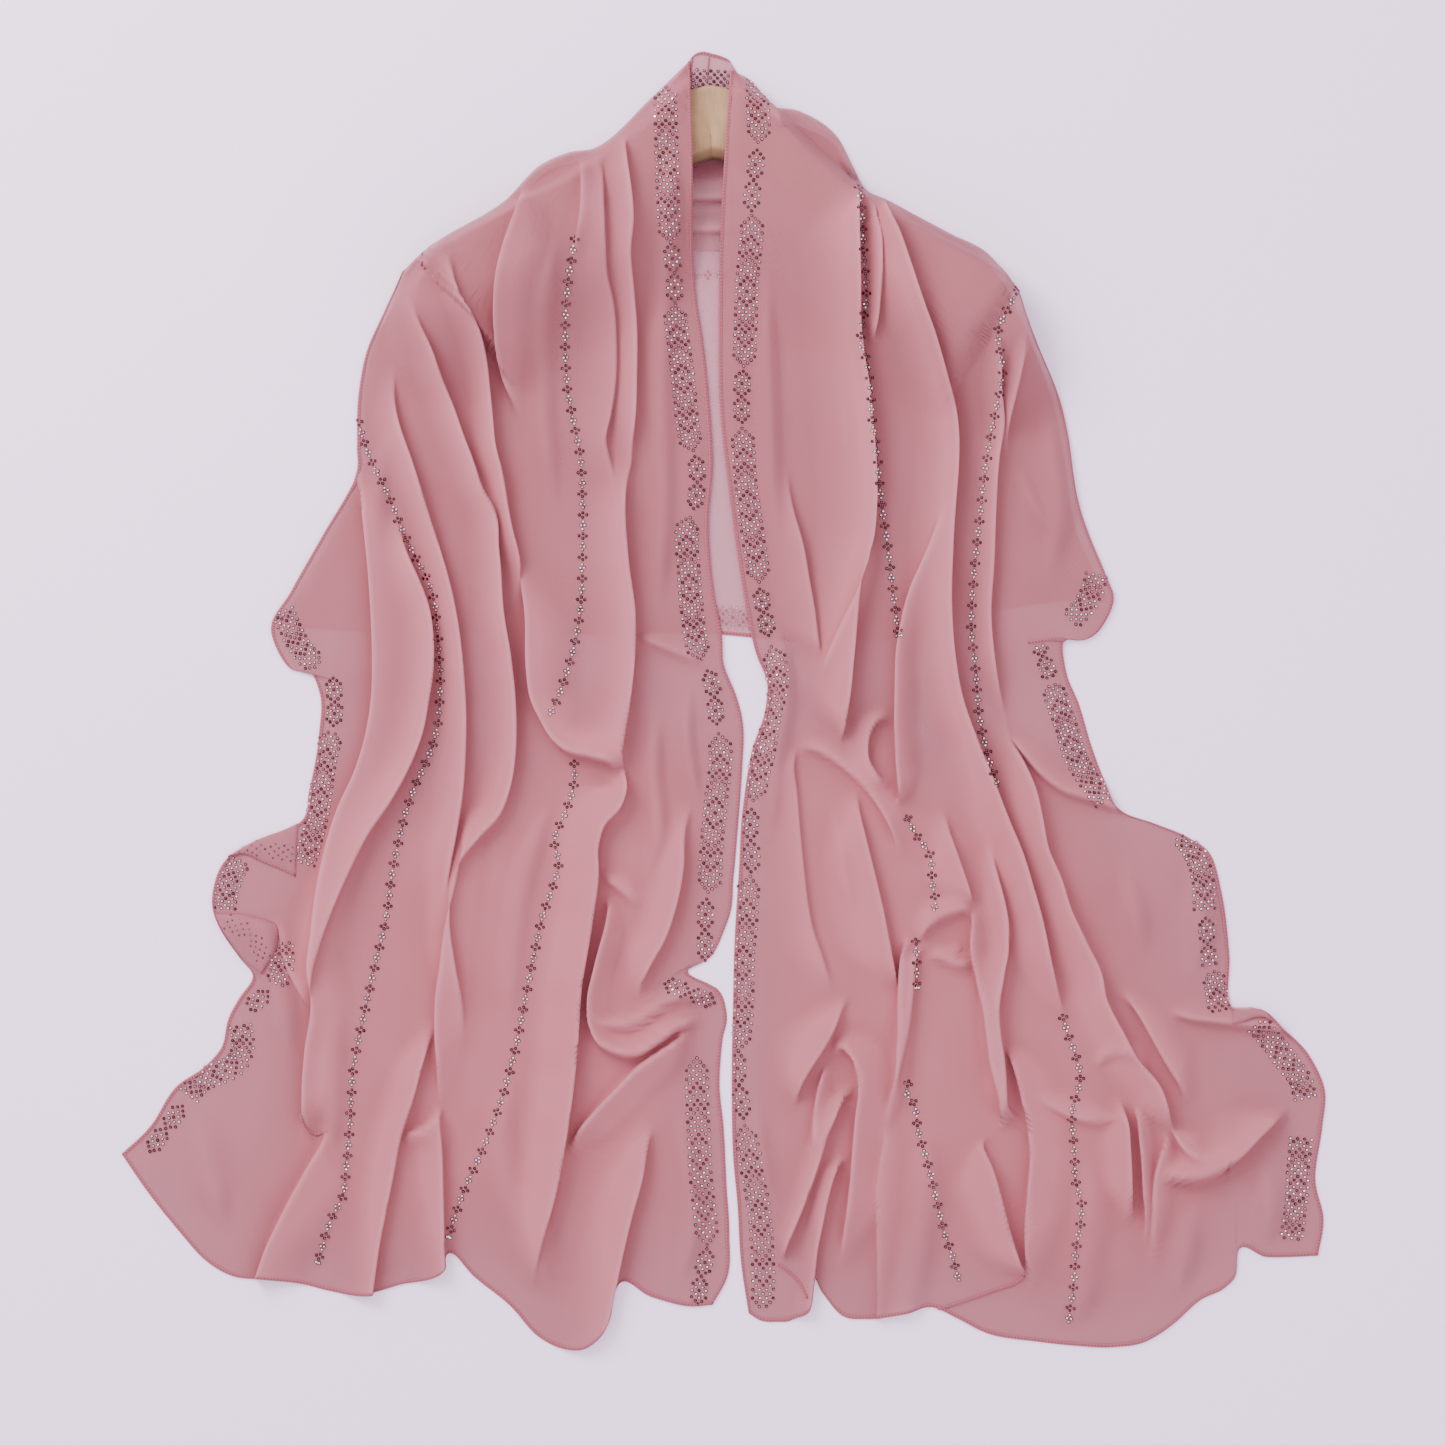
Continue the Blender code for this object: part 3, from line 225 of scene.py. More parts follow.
rightFront = {
    "name": "right_front_cloth",
    "top": (
        (0, 5, 446), (0.06, 18, 440), (0.13, 33, 422), (0.21, 52, 418), (0.34, 80, 400),
        (0.43, 92, 378), (0.50, 101, 362), (0.60, 124, 350), (0.76, 160, 331), (0.89, 188, 316),
        (1, 207, 292),
    ),
    "easyTop": ((0, 5, 446), (0.5, 100, 372), (1, 207, 292)),
    "start": (
        (0, 5, 446), (0.06, 1, 386), (0.13, -2, 329), (0.19, -3, 277), (0.27, -2, 204),
        (0.33, 4, 149), (0.38, 10, 104), (0.43, 17, 61), (0.47, 24, 30), (0.49, 31, 12),
        (0.51, 30, -6), (0.55, 20, -38), (0.59, 14, -76), (0.65, 11, -123), (0.70, 8, -172),
        (0.75, 7, -213), (0.83, 6, -280), (0.88, 7, -325), (0.92, 10, -358), (0.97, 13, -404),
        (1, 18, -436),
    ),
    "easyStart": (
        (0, 5, 446), (0.2, -2, 265), (0.4, 11, 95), (0.55, 19, -38), (0.75, 7, -215), (1, 18, -436),
    ),
    "end": (
        (0, 207, 292), (0.03, 214, 270), (0.07, 222, 250), (0.11, 236, 220), (0.16, 244, 190),
        (0.22, 251, 144), (0.27, 260, 115), (0.31, 272, 86), (0.33, 277, 71), (0.355, 267, 49),
        (0.375, 257, 42), (0.40, 241, 40), (0.42, 243, 20), (0.45, 252, -3), (0.49, 261, -33),
        (0.53, 271, -59), (0.56, 282, -79), (0.59, 305, -88), (0.63, 331, -99), (0.66, 346, -111),
        (0.69, 354, -140), (0.73, 359, -182), (0.765, 361, -219), (0.79, 382, -220),
        (0.82, 400, -236), (0.85, 417, -255), (0.87, 426.2, -275), (0.90, 425, -304), (0.93, 420, -340),
        (0.96, 425.7, -367), (1, 422, -395),
    ),
    "easyEnd": (
        (0, 207, 292), (0.2, 246, 170), (0.4, 256, 58), (0.55, 284, -58), (0.7, 338, -150),
        (0.85, 396, -262), (1, 422, -395),
    ),
    "hem": (
        (0, 18, -436), (0.03, 26, -441), (0.07, 37, -442), (0.11, 50, -440), (0.14, 60, -429),
        (0.155, 63, -411), (0.18, 70, -421), (0.21, 82, -436), (0.26, 102, -440), (0.33, 130, -436),
        (0.38, 150, -432), (0.41, 165, -439), (0.47, 190, -451), (0.53, 222, -456), (0.60, 250, -459),
        (0.66, 277, -460), (0.71, 300, -456), (0.75, 319, -444), (0.79, 338, -427), (0.83, 357, -417),
        (0.85, 364, -408), (0.865, 365, -393), (0.91, 385, -396), (0.95, 402, -396), (1, 422, -395),
    ),
    "easyHem": (
        (0, 18, -436), (0.2, 90, -437), (0.4, 165, -441), (0.6, 250, -453), (0.8, 340, -428),
        (1, 422, -395),
    ),
    "folds": (
        (1, 12, 38, 15, 14, ((96, 364), (96, 340), (97, 300), (98, 262), (100, 245), (104, 221),
            (107, 190), (109, 160), (109, 138), (107, 115), (103, 98), (100, 80), (96, 55), (93, 32),
            (91, 10), (89, -6), (86, -20), (81, -31))),
        (-1, 7, 12, 14, 20, ((106, 112), (97, 96), (90, 78), (82, 60), (76, 46), (69, 28), (65, 12))),
        (1, 7, 24, 60, 12, ((42, 175), (48, 140), (57, 108), (61, 85), (64, 65), (66, 45), (68, 27))),
        (1, 7, 7, 12, 10, ((105, 354), (109, 330), (111, 305), (111, 285), (109, 266), (105, 251))),
        (1, 13, 26, 14, 50, ((110, 357), (124, 330), (132, 307), (140, 283), (150, 256), (158, 230),
            (165, 205), (167, 188), (167, 170), (165, 140), (163, 107), (162, 70), (164, 35), (169, 5),
            (175, -15), (182, -33), (192, -58), (202, -84), (212, -110), (220, -135), (227, -160),
            (233, -188), (238, -212), (242, -232))),
        (-1, 10, 14, 50, 8, ((157, 152), (147, 122), (138, 97), (131, 78), (126, 58), (122, 35), (121, 5),
            (121, -30), (123, -58), (125, -75))),
        (1, 8, 12, 30, 50, ((193, 263), (196, 240), (197, 215), (198, 193), (195, 164), (193, 126),
            (192, 97), (190, 58), (193, 25), (197, 0), (202, -24))),
        (1, 10, 26, 50, 14, ((197, -8), (205, -32), (213, -45), (221, -62), (226, -82), (231, -107),
            (240, -128), (247, -150), (258, -173), (268, -194), (272, -213), (284, -237), (297, -258),
            (311, -277), (316, -292), (319, -309))),
        (1, 8, 11, 35, 30, ((215, 266), (213, 245), (210, 228), (206, 210), (202, 192), (198, 170))),
        (-1, 7, 16, 12, 25, ((52, -30), (62, -34), (75, -41), (90, -53), (103, -67), (113, -82),
            (121, -98), (126, -114))),
        (1, 7, 14, 10, 8, ((119, -8), (110, -15), (104, -27), (103, -40), (109, -52), (118, -63))),
        (1, 4, 26, 20, 25, ((51, -30), (50, -48), (52, -65), (54, -90), (57, -120), (60, -145), (64, -165),
            (70, -182), (75, -200), (77, -212))),
        (1, 9, 32, 25, 12, ((86, -208), (82, -226), (77, -238), (70, -250), (62, -262), (56, -273),
            (49, -288))),
        (-1, 10, 26, 8, 40, ((76, -245), (83, -247), (90, -254), (94, -266), (95, -280), (93, -297),
            (91, -320), (89, -345), (86, -370), (84, -390), (82, -408))),
        (-1, 7, 9, 8, 10, ((73, -260), (67, -275), (64, -292), (62, -308), (60, -324))),
        (1, 8, 9, 10, 12, ((90, -275), (84, -287), (77, -303), (71, -320), (66, -335), (60, -352),
            (52, -372), (46, -386), (40, -400))),
        (1, 7, 9, 10, 0, ((86, -323), (79, -338), (75, -352), (71, -370), (67, -390), (65, -408))),
        (-1, 8, 9, 12, 40, ((132, -167), (126, -180), (124, -192), (123, -210), (122, -235), (120, -260),
            (118, -285), (115, -312))),
        (1, 6, 8, 12, 30, ((138, -174), (136, -200), (133, -235), (128, -262), (123, -295))),
        (1, 8, 36, 30, 12, ((91, -62), (99, -90), (104, -110), (109, -130), (113, -147), (117, -167),
            (121, -188), (124, -206))),
        (-1, 4, 16, 20, 0, ((118, -296), (112, -328), (109, -360), (109, -405))),
        (1, 8, 28, 30, 6, ((152, -76), (160, -94), (168, -115), (174, -133), (178, -146))),
        (1, 7, 16, 8, 12, ((178, -146), (166, -150), (154, -155), (144, -163), (136, -173))),
        (1, 6, 16, 8, 8, ((178, -186), (168, -189), (158, -186), (146, -178))),
        (-1, 9, 11, 12, 10, ((178, -148), (175, -165), (175, -182), (178, -196), (181, -214), (184, -238),
            (187, -260), (191, -279), (195, -294), (196, -306))),
        (1, 10, 12, 50, 12, ((183, -88), (192, -120), (198, -140), (202, -160), (202, -180), (199, -197),
            (197, -215), (198, -235), (201, -256), (203, -275), (205, -299))),
        (-1, 8, 28, 14, 40, ((200, -246), (206, -264), (211, -284), (215, -303), (217, -325), (215, -350),
            (213, -380), (215, -402), (219, -424))),
        (1, 9, 32, 8, 9, ((181, -312), (190, -330), (197, -352), (203, -375), (208, -392), (214, -410))),
        (-1, 8, 20, 30, 20, ((281, -202), (292, -220), (302, -238), (312, -256), (322, -272), (333, -288))),
        (-1, 9, 20, 6, 14, ((317, -304), (322, -314), (328, -321), (337, -325), (349, -324))),
        (1, 10, 32, 15, 12, ((401, -289), (392, -299), (380, -311), (366, -325), (350, -335), (334, -340),
            (320, -340), (308, -336))),
        (-1, 7, 14, 12, 50, ((317, -306), (310, -322), (306, -338), (305, -358), (304, -380), (301, -410))),
        (-1, 9, 9, 14, 30, ((291, -286), (294, -308), (296, -330), (297, -350), (299, -370), (300, -392))),
        (1, 8, 22, 16, 20, ((279, -282), (287, -300), (289, -320), (290, -345), (290, -374))),
        (-1, 5, 16, 12, 12, ((220, -278), (235, -290), (250, -297), (266, -299), (282, -293))),
        (-1, 6, 12, 10, 10, ((260, -260), (275, -252), (288, -254), (302, -265))),
        (-1, 6, 18, 15, 6, ((200, -22), (212, -38), (226, -54), (240, -64), (258, -70), (283, -79))),
        (-1, 6, 16, 12, 0, ((314, -220), (330, -226), (345, -228), (362, -230))),
        (1, 5, 8, 0, 6, ((33, 428), (39, 414), (43, 403))),
        (1, 3, 8, 6, 14, ((104, 362), (118, 352), (134, 338))),
        (0, 6, 18, 60, 60, ((228, 215), (234, 170), (238, 130), (230, 80))),
        (0, 4, 12, 40, 30, ((206, 170), (220, 140), (240, 108))),
        (0, 5, 12, 60, 60, ((30, 310), (32, 220), (35, 150), (42, 90))),
        (0, 5, 13, 60, 60, ((76, 340), (78, 260), (84, 190), (86, 120))),
        (0, 5, 12, 40, 40, ((36, 60), (44, 10), (36, -50), (32, -110))),
        (0, 5, 10, 40, 40, ((78, -70), (84, -120), (92, -170))),
        (0, 6, 18, 40, 0, ((142, -300), (144, -350), (138, -390), (128, -440))),
        (0, 6, 17, 40, 40, ((330, -105), (338, -150), (332, -205))),
        (0, 6, 18, 30, 30, ((384, -325), (388, -352), (384, -392))),
        (0, 6, 18, 50, 30, ((258, -318), (262, -360), (258, -400), (250, -450))),
        (0, 6, 16, 40, 40, ((338, -350), (330, -380), (322, -430))),
        (0, 5, 16, 40, 40, ((284, -110), (292, -150), (300, -190))),
        (0, 4, 12, 40, 40, ((140, 240), (146, 190), (146, 150))),
        (0, 4, 12, 30, 30, ((22, -280), (26, -320), (36, -360))),
    ),
}


def curveAt(rows, along):
    rows = np.array(rows, dtype=float)
    stations = rows[:, 0]
    values = rows[:, 1:]
    slopes = np.gradient(values, stations, axis=0)
    along = np.clip(np.asarray(along, dtype=float), stations[0], stations[-1])
    cell = np.clip(np.searchsorted(stations, along, side="right") - 1, 0, len(stations) - 2)
    width = (stations[cell + 1] - stations[cell])[..., None]
    t = (along - stations[cell])[..., None] / width
    start = (2 * t**3 - 3 * t**2 + 1) * values[cell] + (t**3 - 2 * t**2 + t) * width * slopes[cell]
    return start + (3 * t**2 - 2 * t**3) * values[cell + 1] + (t**3 - t**2) * width * slopes[cell + 1]


def ease(value):
    value = np.clip(value, 0.0, 1.0)
    return value * value * (3 - 2 * value)


def measured(points):
    points = np.array(points, dtype=float)
    steps = np.hypot(*np.diff(points[:, :2], axis=0).T)
    return np.column_stack((np.concatenate(([0.0], np.cumsum(steps))), points))


def alongPath(points, spacing):
    rows = measured(points)
    samples = curveAt(rows, np.linspace(0, rows[-1, 0], max(8, int(rows[-1, 0] / spacing))))
    directions = np.gradient(samples[:, :2], axis=0)
    return samples, directions / np.hypot(*directions.T)[:, None]


def fromPath(x, y, samples, directions):
    # place along the path from 0 to 1, and the signed distance, positive on its left hand
    dx = x[:, None] - samples[:, 0]
    dy = y[:, None] - samples[:, 1]
    nearest = np.argmin(dx * dx + dy * dy, axis=1)
    picked = np.arange(len(x))
    dx = dx[picked, nearest]
    dy = dy[picked, nearest]
    spacing = np.hypot(*(samples[1, :2] - samples[0, :2]))
    forward = directions[nearest, 0] * dx + directions[nearest, 1] * dy
    side = directions[nearest, 0] * dy - directions[nearest, 1] * dx
    place = (nearest + np.clip(forward / spacing, -0.6, 0.6)) / (len(samples) - 1)
    return place, np.hypot(dx, dy), side, nearest


def foldField(x, y, folds, shadeReach=clothSettings["shadeReach"]):
    # height of all folds together and of the creased ones alone, how far each point leans sideways, and
    # where painted shade darkens the creases and a painted highlight lights the fold tops
    squares = np.zeros(x.shape)
    layered = np.zeros(x.shape)
    lean = np.zeros((*x.shape, 2))
    unshaded = np.ones(x.shape)
    gleam = np.zeros(x.shape)
    for fall, height, reach, fadeIn, fadeOut, path in folds:
        samples, directions = alongPath(path, 2.5)
        length = measured(path)[-1, 0]
        widest = reach + 30          # past this a fold changes nothing that shows
        near = (x > samples[:, 0].min() - widest) & (x < samples[:, 0].max() + widest)
        near &= (y > samples[:, 1].min() - widest) & (y < samples[:, 1].max() + widest)
        place, distance, side, nearest = fromPath(x[near], y[near], samples, directions)
        fade = np.ones(place.shape)
        taper = clothSettings["taper"] * distance
        if fadeIn:
            fade *= ease(place * length / (fadeIn + taper))
        if fadeOut:
            fade *= ease((1 - place) * length / (fadeOut + taper))
        easy = reach * (0.5 + 0.5 * fade)
        if not fall:
            profile = 0.5 + 0.5 * np.cos(np.pi * np.clip(np.abs(side) / easy, 0, 1))
            squares[near] += (height * profile * fade) ** 2
            continue
        lying = np.abs(directions[nearest, 0]) ** 2      # 1 where it runs across the panel
        push = clothSettings["overhang"] * height * fade * (1 - 0.55 * lying)
        past = side * fall
        fromRidge = past + push + 0.4
        steep = clothSettings["steepReach"] * (1.8 - 0.8 * fade) * (1 + 1.1 * lying)
        span = np.where(fromRidge > 0, steep, easy)
        away = np.clip(np.abs(fromRidge) / span, 0, 1)
        # a narrow round crest, then a nearly flat slope
        crest = clothSettings["crest"] / easy
        slope = 1 - (np.sqrt(away**2 + crest**2) - crest) / (np.sqrt(1 + crest**2) - crest)
        slope = slope ** clothSettings["bow"]
        profile = np.where(fromRidge > 0, 0.5 + 0.5 * np.cos(np.pi * away), slope)
        squares[near] += (height * profile * fade) ** 2
        layered[near] += (height * profile * fade) ** 2
        aside = np.stack((-directions[nearest, 1], directions[nearest, 0]), axis=-1)
        lean[near] += fall * (push * profile)[:, None] * aside
        # painted shade spreading past each crease's steep side
        strength = fade * min(height / 10.0, 1.0)
        beyond = np.clip(past, 0, None)
        dark = clothSettings["nearDark"] * np.exp(-beyond / clothSettings["nearReach"])
        dark += clothSettings["farDark"] * np.exp(-beyond / shadeReach)
        unshaded[near] *= 1 - strength * dark * ease((fromRidge / steep - 0.3) / 0.5)
        # painted highlight along each fold's top
        offTop = (fromRidge + 0.7) / clothSettings["gleamReach"]
        gleam[near] = np.maximum(gleam[near], strength * np.exp(-offTop**2))
    return np.sqrt(squares), np.sqrt(layered), lean, 1 - unshaded, gleam


def armHeight(x, y):
    samples, directions = alongPath(hangerSettings["sections"], 4)
    place, distance, side, nearest = fromPath(x, y, samples, directions)
    half = samples[nearest, 2]
    top = samples[nearest, 4] + hangerSettings["clearance"]
    past = np.clip(distance - half - hangerSettings["clearance"], 0, None)
    above = ease((side / np.maximum(distance, 1e-6) + 1) / 2)
    fall = hangerSettings["lowerFall"] + (hangerSettings["upperFall"] - hangerSettings["lowerFall"]) * above
    return top * (1 - ease(past / fall))


def restHeight(x, y):
    hem = np.array(backSettings["hem"])
    below = np.interp(x, hem[:, 1], hem[:, 2]) - y
    easeFrom, easeTo = backSettings["floorEase"]
    onBack = 1 - ease((below - easeFrom) / (easeTo - easeFrom))
    return clothSettings["wall"] + 0.15 + (backSettings["height"] + 0.35) * onBack


def swells(x, y):
    # slow uneven swells, so that no stretch of the cloth is dead flat
    total = np.zeros(x.shape)
    for wave, turn, start, share in ((95, 0.3, 0.4, 1.0), (61, 1.2, 2.1, 0.7), (43, -0.6, 4.0, 0.45),
                                     (29, 0.9, 1.1, 0.25)):
        along = x * math.cos(turn) + y * math.sin(turn) * 0.45       # longer down the cloth than across
        total += share * np.sin(along * 2 * math.pi / wave + start)
    return clothSettings["unevenness"] * (1.0 + total / 2.4)


def cornerPatch(u, v, top, bottom, start, end):
    across = u[..., None]
    down = v[..., None]
    upper, lower = curveAt(top, u), curveAt(bottom, u)
    left, right = curveAt(start, v), curveAt(end, v)
    corner = [np.array(rows[place][1:], dtype=float) for rows, place in
              ((top, 0), (top, -1), (bottom, 0), (bottom, -1))]
    blend = (1 - across) * left + across * right + (1 - down) * upper + down * lower
    blend -= (1 - down) * ((1 - across) * corner[0] + across * corner[1])
    return blend - down * ((1 - across) * corner[2] + across * corner[3])


def frontPlan(panel, u, v):
    plan = cornerPatch(u, v, panel["easyTop"], panel["easyHem"], panel["easyStart"], panel["easyEnd"])
    fade = clothSettings["edgeFade"]
    for rows, easy, along, away in (("top", "easyTop", u, v), ("hem", "easyHem", u, 1 - v),
                                    ("start", "easyStart", v, u), ("end", "easyEnd", v, 1 - u)):
        wave = curveAt(panel[rows], along) - curveAt(panel[easy], along)
        plan += (1 - ease(away / fade))[..., None] * wave
    return plan


def crowdedColumns(panel, down):
    # columns crowd on the steep sides of the folds, so that each crease runs along the mesh
    tryAcross = np.linspace(0, 1, clothSettings["tryColumns"])
    u, v = np.meshgrid(tryAcross, down)
    plan = frontPlan(panel, u, v)
    height = foldField(plan[..., 0].ravel(), plan[..., 1].ravel(), panel["folds"])[0].reshape(u.shape)
    run = np.hypot(np.gradient(plan[..., 0], axis=1), np.gradient(plan[..., 1], axis=1))
    slope = np.abs(np.gradient(height, axis=1)) / run
    steepest = clothSettings["steepest"]
    weight = run * (1 + clothSettings["crowding"] * np.clip(slope, 0, steepest) / steepest)
    for smoothing in range(10):
        padded = np.pad(weight, ((1, 1), (0, 0)), mode="edge")
        weight = (padded[:-2] + 2 * padded[1:-1] + padded[2:]) / 4
    total = np.cumsum(weight, axis=1)
    total = (total - total[:, :1]) / (total[:, -1:] - total[:, :1])
    wanted = np.linspace(0, 1, clothSettings["columns"])
    return np.stack([np.interp(wanted, row, tryAcross) for row in total])


def doubledPart(across, v):
    # the middle of a front below its upper half, where more layers lie under it
    fromSides = ease(across / 0.2) * ease((1 - across) / 0.36)
    return fromSides * ease((v - 0.49) / 0.10) * ease((1 - v) / 0.12)


def frontPoints(panel):
    down = np.linspace(0, 1, clothSettings["rows"]) ** clothSettings["rowCrowding"]
    across = crowdedColumns(panel, down)
    v = np.repeat(down[:, None], clothSettings["columns"], axis=1)
    plan = frontPlan(panel, across, v)
    x, y = plan[..., 0].ravel(), plan[..., 1].ravel()
    folded, layered, lean, dark, gleam = foldField(x, y, panel["folds"])
    edge = ease(np.minimum(np.minimum(across, 1 - across), 1 - v).ravel() / 0.05)
    below = doubledPart(across, v).ravel()
    layered = layered + clothSettings["doubled"] * below + clothSettings["creaseLayers"] * dark
    # the doubled middle joins the painted shade: partly denser cloth, partly painted shade of the layers
    # beneath
    dark = np.clip(dark + clothSettings["doubledDark"] * below, 0, 1)
    height = restHeight(x, y) + armHeight(x, y) + folded + swells(x, y) * (0.25 + 0.75 * edge)
    points = np.stack((x + lean[:, 0], y + lean[:, 1], height), axis=-1).reshape(*across.shape, 3)
    points[0, :, 2] = clothSettings["wall"] + clothSettings["topEdge"]
    flat = np.stack((across, 1 - v), axis=-1) * clothSettings["flat"]
    shape = across.shape
    return points, layered.reshape(shape), dark.reshape(shape), gleam.reshape(shape), flat


def backPoints():
    u, v = np.meshgrid(np.linspace(0, 1, backSettings["columns"]), np.linspace(0, 1, backSettings["rows"]))
    plan = cornerPatch(u, v, backSettings["neck"], backSettings["hem"],
                       backSettings["leftEdge"], backSettings["rightEdge"])
    height = np.full(u.shape, backSettings["height"])
    upper, lower = backSettings["stoneBand"]
    band = ease((v - upper) / 0.015) * ease((lower - v) / 0.01)
    return np.dstack((plan, height)), band, np.stack((u, 1 - v), axis=-1) * backSettings["flat"]


def deepness(points, dark):
    # painted shade: the given crease shade plus how far each point lies below the cloth around it, and how
    # steep it is there, which the material also paints darker
    height = points[..., 2]
    around = height.copy()
    for smoothing in range(14):
        padded = np.pad(around, 1, mode="edge")
        around = (padded[:-2, 1:-1] + padded[2:, 1:-1] + padded[1:-1, :-2] + padded[1:-1, 2:]) / 4
    hollow = np.clip(dark + np.clip((around - height) / 5.0, 0, 0.3), 0, 1)
    acrossStep = np.gradient(points, axis=1)
    downStep = np.gradient(points, axis=0)
    normal = np.cross(downStep, acrossStep)
    up = np.abs(normal[..., 2]) / np.maximum(np.linalg.norm(normal, axis=-1), 1e-9)
    return hollow, 1 - up


# Materials

def setSockets(node, sockets):
    for name, value in sockets.items():
        node.inputs[name].default_value = value


def newMaterial(name, sockets):
    material = bpy.data.materials.new(name)
    material.use_nodes = True
    tree = material.node_tree
    shader = tree.nodes["Principled BSDF"]
    setSockets(shader, sockets)
    return material, tree, shader


def addNode(tree, kind, sockets=None, **choices):
    node = tree.nodes.new(kind)
    for name, choice in choices.items():
        setattr(node, name, choice)
    setSockets(node, sockets or {})
    return node


def wire(tree, *joins):
    # each join: a node and its output, then the node and the socket that it feeds
    for source, output, target, socket in joins:
        tree.links.new(source.outputs[output], target.inputs[socket])


def crepeGroup():
    # fine crepe of the chiffon: twisted threads both ways and a slow cloudiness
    tree = bpy.data.node_groups.new("crepe", "ShaderNodeTree")
    for name, value in (("Threads", 1400), ("Cloud", 22)):
        socket = tree.interface.new_socket(name, in_out="INPUT", socket_type="NodeSocketFloat")
        socket.default_value = value
    for name in ("Height", "Tone"):
        tree.interface.new_socket(name, in_out="OUTPUT", socket_type="NodeSocketFloat")
    given = addNode(tree, "NodeGroupInput")
    out = addNode(tree, "NodeGroupOutput")
    place = addNode(tree, "ShaderNodeTexCoord")
    threads = addNode(tree, "ShaderNodeTexNoise", {"Detail": 3.0, "Roughness": 0.6, "Distortion": 0.4})
    cloud = addNode(tree, "ShaderNodeTexNoise", {"Detail": 2.0, "Roughness": 0.5})
    tone = addNode(tree, "ShaderNodeMath", {1: 0.35}, operation="MULTIPLY_ADD")
    wire(tree, (place, "Object", threads, "Vector"), (place, "Object", cloud, "Vector"),
         (given, "Threads", threads, "Scale"), (given, "Cloud", cloud, "Scale"),
         (threads, "Fac", tone, 0), (cloud, "Fac", tone, 2),
         (threads, "Fac", out, "Height"), (tone, 0, out, "Tone"))
    return tree


crepe = crepeGroup()

chiffonSettings = {
    # colour where the cloth lies flat, the painted shade colour where it is hollow or steep, and the
    # painted highlight on a fold's top
    "right side": {"lit": (0.418, 0.139, 0.159), "deep": (0.366, 0.099, 0.116), "clear": 0.58},
    "wrong side": {"lit": (0.52, 0.215, 0.245), "deep": (0.33, 0.080, 0.100), "clear": 0.48},
    "light": (0.520, 0.226, 0.255),
    "gleam": 0.4,            # share of that painted highlight on the sharpest top
    "solid": 9.0,            # mm of fold past which nothing shows through
}


def chiffonMaterial(name, lit, deep, clear):
    # clear is how much of the light one wall stops where it lies flat
    material, tree, shader = newMaterial(name, {
        "Roughness": 0.78, "Specular IOR Level": 0.15, "Sheen Weight": 0.10, "Sheen Roughness": 0.5,
        "Sheen Tint": (1.0, 0.78, 0.82, 1)})
    weave = addNode(tree, "ShaderNodeGroup", node_tree=crepe)
    hollow, steep, gleam, layers = [addNode(tree, "ShaderNodeAttribute", attribute_name=title)
                                    for title in ("hollow", "steep", "gleam", "layers")]
    # painted shade on steep sides and in hollows, standing also for the denser look of cloth seen on a
    # slope; the crepe adds its random tone
    shade = addNode(tree, "ShaderNodeMath", {1: 0.55}, operation="MULTIPLY_ADD", use_clamp=True)
    tone = addNode(tree, "ShaderNodeMapRange",
                   {"From Min": 0.35, "From Max": 0.95, "To Min": -0.06, "To Max": 0.10})
    total = addNode(tree, "ShaderNodeMath", operation="ADD", use_clamp=True)
    colour = addNode(tree, "ShaderNodeMix", {6: (*lit, 1), 7: (*deep, 1)}, data_type="RGBA")
    # painted highlight along the fold tops
    glow = addNode(tree, "ShaderNodeMath", {1: chiffonSettings["gleam"]}, operation="MULTIPLY")
    edged = addNode(tree, "ShaderNodeMix", {7: (*chiffonSettings["light"], 1)}, data_type="RGBA")
    stop = addNode(tree, "ShaderNodeMapRange",
                   {"From Max": chiffonSettings["solid"], "To Min": clear, "To Max": 1.0})
    bump = addNode(tree, "ShaderNodeBump", {"Strength": 0.25, "Distance": 0.0004})
    wire(tree, (steep, "Fac", shade, 0), (hollow, "Fac", shade, 2), (weave, "Tone", tone, "Value"),
         (shade, 0, total, 0), (tone, "Result", total, 1), (total, 0, colour, 0),
         (gleam, "Fac", glow, 0), (glow, 0, edged, 0), (colour, 2, edged, 6),
         (edged, 2, shader, "Base Color"),
         (layers, "Fac", stop, "Value"), (stop, "Result", shader, "Alpha"),
         (weave, "Height", bump, "Height"), (bump, "Normal", shader, "Normal"))
    return material


hemSettings = {
    "cloth": (0.33, 0.092, 0.115),
    "stitch": (0.19, 0.042, 0.056),
    "stitchPitch": 0.0024,   # metres along the hem
    "stitchShare": 0.45,     # of the pitch
    "width": 2.7,
    "depth": 1.1,
    "spacing": 2.2,          # between its rings
    "sides": 8,
}


def hemMaterial():
    # rolled hem, darker where the cloth is doubled, with a dotted line of stitches along it
    material, tree, shader = newMaterial("rolled hem", {"Roughness": 0.8, "Specular IOR Level": 0.2})
    flat = addNode(tree, "ShaderNodeUVMap", uv_map="flat")
    parts = addNode(tree, "ShaderNodeSeparateXYZ")
    pitch = addNode(tree, "ShaderNodeMath", {1: hemSettings["stitchPitch"]}, operation="DIVIDE")
    turn = addNode(tree, "ShaderNodeMath", operation="FRACT")
    dash = addNode(tree, "ShaderNodeMath", {1: hemSettings["stitchShare"]}, operation="LESS_THAN")
    middle = addNode(tree, "ShaderNodeMath", {1: 0.5, 2: 0.2}, operation="COMPARE")
    stitch = addNode(tree, "ShaderNodeMath", operation="MULTIPLY")
    colour = addNode(tree, "ShaderNodeMix",
                     {6: (*hemSettings["cloth"], 1), 7: (*hemSettings["stitch"], 1)}, data_type="RGBA")
    bump = addNode(tree, "ShaderNodeBump", {"Strength": 0.5, "Distance": 0.0003})
    wire(tree, (flat, "UV", parts, 0), (parts, "X", pitch, 0), (pitch, 0, turn, 0), (turn, 0, dash, 0),
         (parts, "Y", middle, 0), (dash, 0, stitch, 0), (middle, 0, stitch, 1),
         (stitch, 0, colour, 0), (colour, 2, shader, "Base Color"),
         (stitch, 0, bump, "Height"), (bump, "Normal", shader, "Normal"))
    return material


